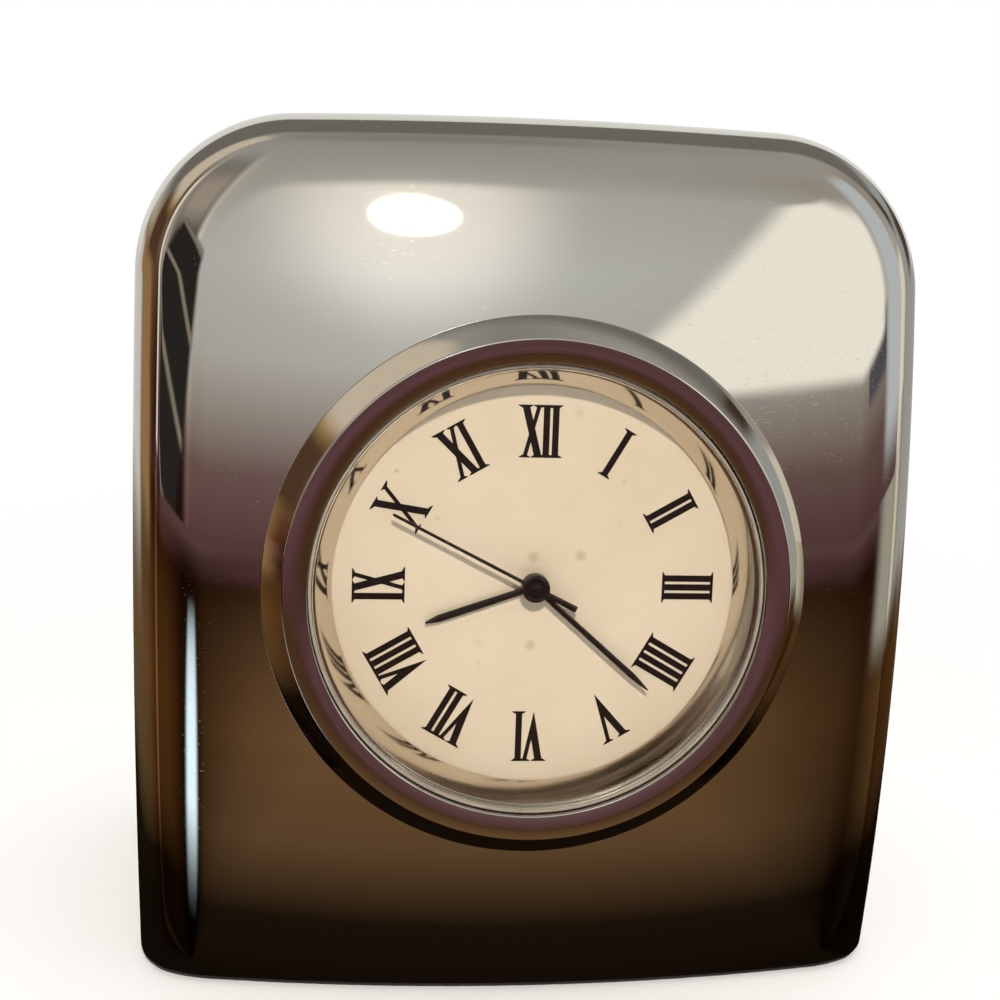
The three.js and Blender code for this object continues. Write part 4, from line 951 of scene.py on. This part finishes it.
def room_card():
    """Glow of the studio's shell by direction: dusk at the horizon, light grey above, a dim roof behind,
    dark and pale areas at the sides, a dark shelf to the left, a cream wall to the right with a slanting
    edge, a pale ring round the left of the front, and one oval lamp with a halo."""
    material, tree, place = new_material("room_card")
    way = add(tree, VECTOR_MATH, {0: place}, operation="NORMALIZE")
    part = add(tree, "ShaderNodeSeparateXYZ", {0: way})
    front = add(tree, MATH, {0: part.outputs[1], 1: -1.0}, operation="MULTIPLY")
    radians = [
        add(tree, MATH, {0: part.outputs[2]}, operation="ARCSINE"),
        add(tree, MATH, {0: part, 1: front}, operation="ARCTAN2"),
        add(tree, MATH, {0: front}, operation="ARCCOSINE"),
    ]
    rise, turn, spread = (
        add(tree, MATH, {0: angle}, operation="DEGREES") for angle in radians
    )
    height_share = add(tree, MAP_RANGE, {0: part.outputs[2], 1: -1.0, 2: 1.0})
    by_height = add(tree, "ShaderNodeValToRGB", {0: height_share}, HEIGHT_TONES)
    strips = laid_over(tree, by_turn(tree, turn, TURN_TONES), "#D8D8D8", within(tree, rise, 51, 100, 11))
    tone = add(tree, "ShaderNodeMix", {
        0: 1.0, 6: by_height, 7: strips,
    }, data_type="RGBA", blend_type="MULTIPLY").outputs[2]
    roof = within(tree, spread, 101, 200, 3), within(tree, rise, 23, 100, 8)
    tone = laid_over(tree, tone, "#575451", *roof)
    for turn_from, turn_to, rise_from, rise_to, soft, code in ROOM_AREAS:
        across = within(tree, turn, turn_from, turn_to, soft)
        tone = laid_over(tree, tone, code, across, within(tree, rise, rise_from, rise_to, soft))
    shelf = add(tree, MATH, {0: rise, 1: SHELF_SLANT, 2: turn}, operation="MULTIPLY_ADD")
    shelf_side = within(tree, shelf, -78, -46, 2), within(tree, turn, -66, -20, 3)
    lean = add(tree, MATH, {0: turn, 1: BOARD_SLANT, 2: rise}, operation="MULTIPLY_ADD")
    shelf_ends = within(tree, lean, -28, 16, 1), within(tree, rise, -8, 60, 4)
    tone = laid_over(tree, tone, "#1D1B19", *shelf_side, *shelf_ends)
    board = add(tree, MATH, {0: lean, 1: BOARD_TO, 2: BOARD_FROM}, operation="WRAP")
    tone = laid_over(tree, tone, "#6C645A", *shelf_side, *shelf_ends, within(tree, board, -7.0, -5.6, 0.5))
    wall = add(tree, MATH, {0: rise, 1: WALL_SLANT, 2: turn}, operation="MULTIPLY_ADD")
    wall_side = within(tree, wall, -8.3, 200, 2), within(tree, turn, -90, 59, 3)
    wall_ends = within(tree, rise, 13.2, 100, 0.8), within(tree, rise, -100, 35, 4)
    tone = laid_over(tree, tone, "#C5C3B9", *wall_side, *wall_ends)
    tone = laid_over(tree, tone, "#ADAEAA", within(tree, spread, 135, 200, 2))
    ring = within(tree, spread, 73, 80, 1)
    ring_ends = within(tree, turn, -150, -20, 5), within(tree, rise, -60, 47, 6)
    tone = laid_over(tree, tone, "#B4B0A8", ring, *ring_ends)
    lamp_x, lamp_y = (
        add(tree, MATH, {0: angle, 1: 2 / size, 2: -2 * middle / size}, operation="MULTIPLY_ADD")
        for angle, middle, size in ((turn, LAMP_TURN, LAMP_WIDTH), (rise, LAMP_RISE, LAMP_HEIGHT))
    )
    lamp_place = add(tree, "ShaderNodeCombineXYZ", {0: lamp_x, 1: lamp_y})
    off_lamp = add(tree, VECTOR_MATH, {0: lamp_place}, operation="LENGTH")
    disc = add(tree, MAP_RANGE, {
        0: off_lamp.outputs["Value"], 1: 0.85, 2: 1.1, 3: 5.0, 4: 0.0,
    }, interpolation_type="SMOOTHSTEP")
    off_halo = add(tree, VECTOR_MATH, {0: lamp_place, 1: (1, 0.55, 1)}, operation="MULTIPLY")
    off_halo = add(tree, VECTOR_MATH, {0: off_halo}, operation="LENGTH")
    halo = add(tree, MAP_RANGE, {
        0: off_halo.outputs["Value"], 1: 0.7, 2: 4.6, 3: 0.5, 4: 0.0,
    }, interpolation_type="SMOOTHERSTEP")
    glow = add(tree, MATH, {0: disc, 1: halo})
    lamp_glow = add(tree, "ShaderNodeEmission", {"Color": linear("#FFF5E6"), "Strength": glow})
    room_glow = add(tree, "ShaderNodeEmission", {"Color": tone, "Strength": ROOM_GLOW})
    both = add(tree, "ShaderNodeAddShader", {0: room_glow, 1: lamp_glow})
    add(tree, "ShaderNodeOutputMaterial", {"Surface": both})
    return material


# Tones of the table's glow along the square root of the distance from the foot; the darkest first stops are
# the painted shadow of the clock's foot
TABLE_TONES = [
    (0.0, "#120C07"), (1.0, "#583F42"), (0.07, "#1C140C"), (0.12, "#5E4931"), (0.2, "#6E5437"),
    (0.3, "#604932"), (0.42, "#4A3522"), (0.455, "#49331F"), (0.485, "#543939"), (0.53, "#64464F"),
    (0.7, "#583C43"),
]
TABLE_TURN_TONES = [
    (0.0, "#C4C2BE"), (1.0, "#C4C2BE"), (0.15, "#BAC0BE"), (0.22, "#B6AA94"), (0.262, "#8A6A45"),
    (0.28, "#F4E8D8"), (0.288, "#F4E8D8"), (0.296, "#8A745A"), (0.35, "#937C5E"), (0.37, "#76604A"),
    (0.388, "#4A3A2C"), (0.405, "#4A3A2C"), (0.425, "#57493C"), (0.442, "#6E6056"), (0.468, "#B4ACA8"),
    (0.5, "#CCC5C3"), (0.56, "#AAA49E"), (0.6, "#786C64"), (0.65, "#62554A"), (0.68, "#8A7C70"),
    (0.712, "#A89C8C"), (0.72, "#A89C8C"), (0.728, "#6A5A4C"), (0.77, "#7E6A50"), (0.85, "#8A7C6C"),
]
# Areas of the table, far from the clock: turn from and to in degrees, distance and softness in metres,
# and tone
TABLE_AREAS = [
    (-62, 62, 0.6, 0.35, "#44302F"), (-120, -96, 0.16, 0.06, "#755A3C"), (62, 78, 0.1, 0.03, "#7C7A70"),
    (80, 100, 0.1, 0.03, "#A19C8A"), (101, 160, 0.1, 0.03, "#7A7A76"),
]
# The bright streak's turn, and its half width at the clock, in degrees
STREAK_TURN = -31
STREAK_HALF = 6.5


def table_card():
    """Glow of a warm wooden table round the clock: dark where the clock's foot shades it, dim far away, and
    pale behind and far to the right. Soft strips and one bright streak run out from the clock's front
    corners. The ramp of distance runs over its square root."""
    material, tree, place = new_material("table_card")
    size = add(tree, VECTOR_MATH, {0: place}, operation="ABSOLUTE")
    beyond = add(tree, VECTOR_MATH, {0: size, 1: FOOT_HALF}, operation="SUBTRACT")
    beyond = add(tree, VECTOR_MATH, {0: beyond, 1: (0, 0, 0)}, operation="MAXIMUM")
    away = add(tree, VECTOR_MATH, {0: beyond}, operation="LENGTH").outputs["Value"]
    share = add(tree, MATH, {0: away, 1: 1 / ROOM}, operation="MULTIPLY")
    share = add(tree, MATH, {0: share, 1: 0.5}, operation="POWER")
    shade = add(tree, "ShaderNodeValToRGB", {0: share}, TABLE_TONES)
    grain = add(tree, MAPPING, {"Vector": place, "Scale": (9.0, 110.0, 1.0), "Rotation": (0, 0, 0.15)})
    noise = add(tree, NOISE, {"Vector": grain, "Scale": 1.0, "Detail": 3.0})
    figure = add(tree, MAP_RANGE, {0: noise, 1: 0.3, 2: 0.7, 3: 1.99, 4: 2.11})
    side = add(tree, VECTOR_MATH, {0: place}, operation="SIGN")
    aside = add(tree, VECTOR_MATH, {0: size, 1: CORNER_HALF}, operation="SUBTRACT")
    aside = add(tree, VECTOR_MATH, {0: aside, 1: (0, 0, 0)}, operation="MAXIMUM")
    aside = add(tree, VECTOR_MATH, {0: aside, 1: side}, operation="MULTIPLY")
    across = add(tree, "ShaderNodeSeparateXYZ", {0: aside})
    along = add(tree, "ShaderNodeSeparateXYZ", {0: place})
    front = add(tree, MATH, {
        0: along.outputs[1], 1: -1.0, 2: -BASE_DEPTH / 2 * MM,
    }, operation="MULTIPLY_ADD")
    turn = add(tree, MATH, {0: across, 1: front}, operation="ARCTAN2")
    turn = add(tree, MATH, {0: turn}, operation="DEGREES")
    tone = add(tree, "ShaderNodeMix", {
        0: 1.0, 6: shade, 7: by_turn(tree, turn, TABLE_TURN_TONES),
    }, data_type="RGBA", blend_type="MULTIPLY").outputs[2]
    off_streak = add(tree, MATH, {0: turn, 1: STREAK_TURN}, operation="SUBTRACT")
    narrowing = add(tree, MATH, {0: away, 1: 6.0, 2: 1.0}, operation="MULTIPLY_ADD")
    off_streak = add(tree, MATH, {0: off_streak, 1: narrowing}, operation="MULTIPLY")
    streak = within(tree, off_streak, -STREAK_HALF, STREAK_HALF, 3)
    streak_ends = within(tree, away, 0.016, 2 * ROOM, 0.012), within(tree, away, -ROOM, 0.14, 0.1)
    tone = laid_over(tree, tone, "#C2D8E3", streak, *streak_ends)
    turned_back = add(tree, MATH, {0: turn}, operation="ABSOLUTE")
    behind = within(tree, turned_back, 121, 200, 6)
    tone = laid_over(tree, tone, "#9F9C98", behind, within(tree, away, 0.1, 2 * ROOM, 0.05))
    for turn_from, turn_to, distance, soft, code in TABLE_AREAS:
        across = within(tree, turn, turn_from, turn_to, 5)
        tone = laid_over(tree, tone, code, across, within(tree, away, distance, 2 * ROOM, soft))
    glow = add(tree, "ShaderNodeEmission", {"Color": tone, "Strength": figure})
    add(tree, "ShaderNodeOutputMaterial", {"Surface": glow})
    return material


reach = np.linspace(-FLOOR_HALF, FLOOR_HALF, FLOOR_POINTS)
floor_x, floor_y = (a.ravel() for a in np.meshgrid(reach, reach, indexing="ij"))
floor = np.stack([floor_x, floor_y, np.zeros_like(floor_x)], 1)
stage_mesh("floor", floor, grid_faces(FLOOR_POINTS, FLOOR_POINTS, wrap_columns=False), pale_floor())

height = np.linspace(-math.pi / 2, math.pi / 2, SHELL_ROWS)[:, None]
circle_turn = np.linspace(0, 2 * np.pi, SHELL_COLUMNS, endpoint=False)
unit_circle = np.cos(circle_turn), np.sin(circle_turn)
shell = ROOM * np.stack([
    *(np.cos(height) * along for along in unit_circle), np.repeat(np.sin(height), SHELL_COLUMNS, 1),
], -1).reshape(-1, 3)
mirror_only(stage_mesh("room", shell, grid_faces(SHELL_ROWS, SHELL_COLUMNS), room_card()))

rings = np.array([1e-6, 0.02, 0.06, 0.2, 0.5, ROOM])[:, None]
lifted = np.full((len(rings), SHELL_COLUMNS), TABLE_LIFT)
table = np.stack([*(rings * along for along in unit_circle), lifted], -1).reshape(-1, 3)
mirror_only(stage_mesh("table", table, grid_faces(len(rings), SHELL_COLUMNS), table_card()))


def lamp(name, place, aim, size, power, colour):
    """A soft oval lamp that lights the object and isn't mirrored."""
    light = bpy.data.lights.new(name, "AREA")
    light.shape = "ELLIPSE"
    light.size, light.size_y = size
    light.energy = power
    light.color = linear(colour)[:3]
    holder = bpy.data.objects.new(name, light)
    holder.location = place
    holder.rotation_euler = (Vector(aim) - Vector(place)).to_track_quat("-Z", "Y").to_euler()
    holder.visible_glossy = False
    holder.visible_transmission = False
    bpy.context.scene.collection.objects.link(holder)


KEY_PLACE = CENTRE + np.array([0, -0.68, 0.733])
lamp("key", KEY_PLACE, CENTRE, (0.055, 0.04), 8.4, "#FFF7EC")
lamp("overhead", (0.1, 0.1, 1.4), (0, 0, 0), (1.2, 1.2), 7.0, "#FFFFFF")

world = bpy.data.worlds.new("studio")
bpy.context.scene.world = world
world.use_nodes = True
sky = world.node_tree
sky.nodes.clear()
level = add(sky, MAP_RANGE, {0: seen_directly(sky), 3: 0.25})
air = add(sky, "ShaderNodeBackground", {"Color": (1, 1, 1, 1), "Strength": level})
add(sky, "ShaderNodeOutputWorld", {"Surface": air})

# Camera: close, above the dial and a little to its left, as the photograph was taken

VIEW_ELEVATION = math.radians(20.4)
VIEW_AZIMUTH = math.radians(8.32)
VIEW_DISTANCE = 0.105
VIEW_ROLL = math.radians(3.36)
FOCAL_PIXELS = 1569.4
CENTRE_PIXEL = np.array([536.25, 589.16])
IMAGE = 1000.0
SENSOR = 36.0

outward = np.array([
    -math.sin(VIEW_AZIMUTH) * math.cos(VIEW_ELEVATION), -math.cos(VIEW_AZIMUTH) * math.cos(VIEW_ELEVATION),
    math.sin(VIEW_ELEVATION),
])
eye = CENTRE + VIEW_DISTANCE * outward
right = np.cross(-outward, [0, 0, 1])
right /= np.linalg.norm(right)
up = np.cross(right, -outward)
roll_cosine, roll_sine = math.cos(VIEW_ROLL), math.sin(VIEW_ROLL)
right, up = roll_cosine * right + roll_sine * up, roll_cosine * up - roll_sine * right
towards_centre = Matrix(np.stack([right, up, outward], 1).tolist())
offset = (CENTRE_PIXEL - IMAGE / 2) / FOCAL_PIXELS
ray = Vector((offset[0], -offset[1], -1)).normalized()
aim_turn = ray.rotation_difference(Vector((0, 0, -1)))
camera_data = bpy.data.cameras.new("camera")
camera_data.sensor_width = SENSOR
camera_data.sensor_fit = "AUTO"
camera_data.lens = SENSOR * FOCAL_PIXELS / IMAGE
camera_data.clip_start = 0.005
camera_data.clip_end = 30.0
camera = bpy.data.objects.new("camera", camera_data)
camera.matrix_world = Matrix.Translation(eye) @ (towards_centre @ aim_turn.to_matrix()).to_4x4()
bpy.context.scene.collection.objects.link(camera)
bpy.context.scene.camera = camera
bpy.context.scene.view_settings.view_transform = "Standard"
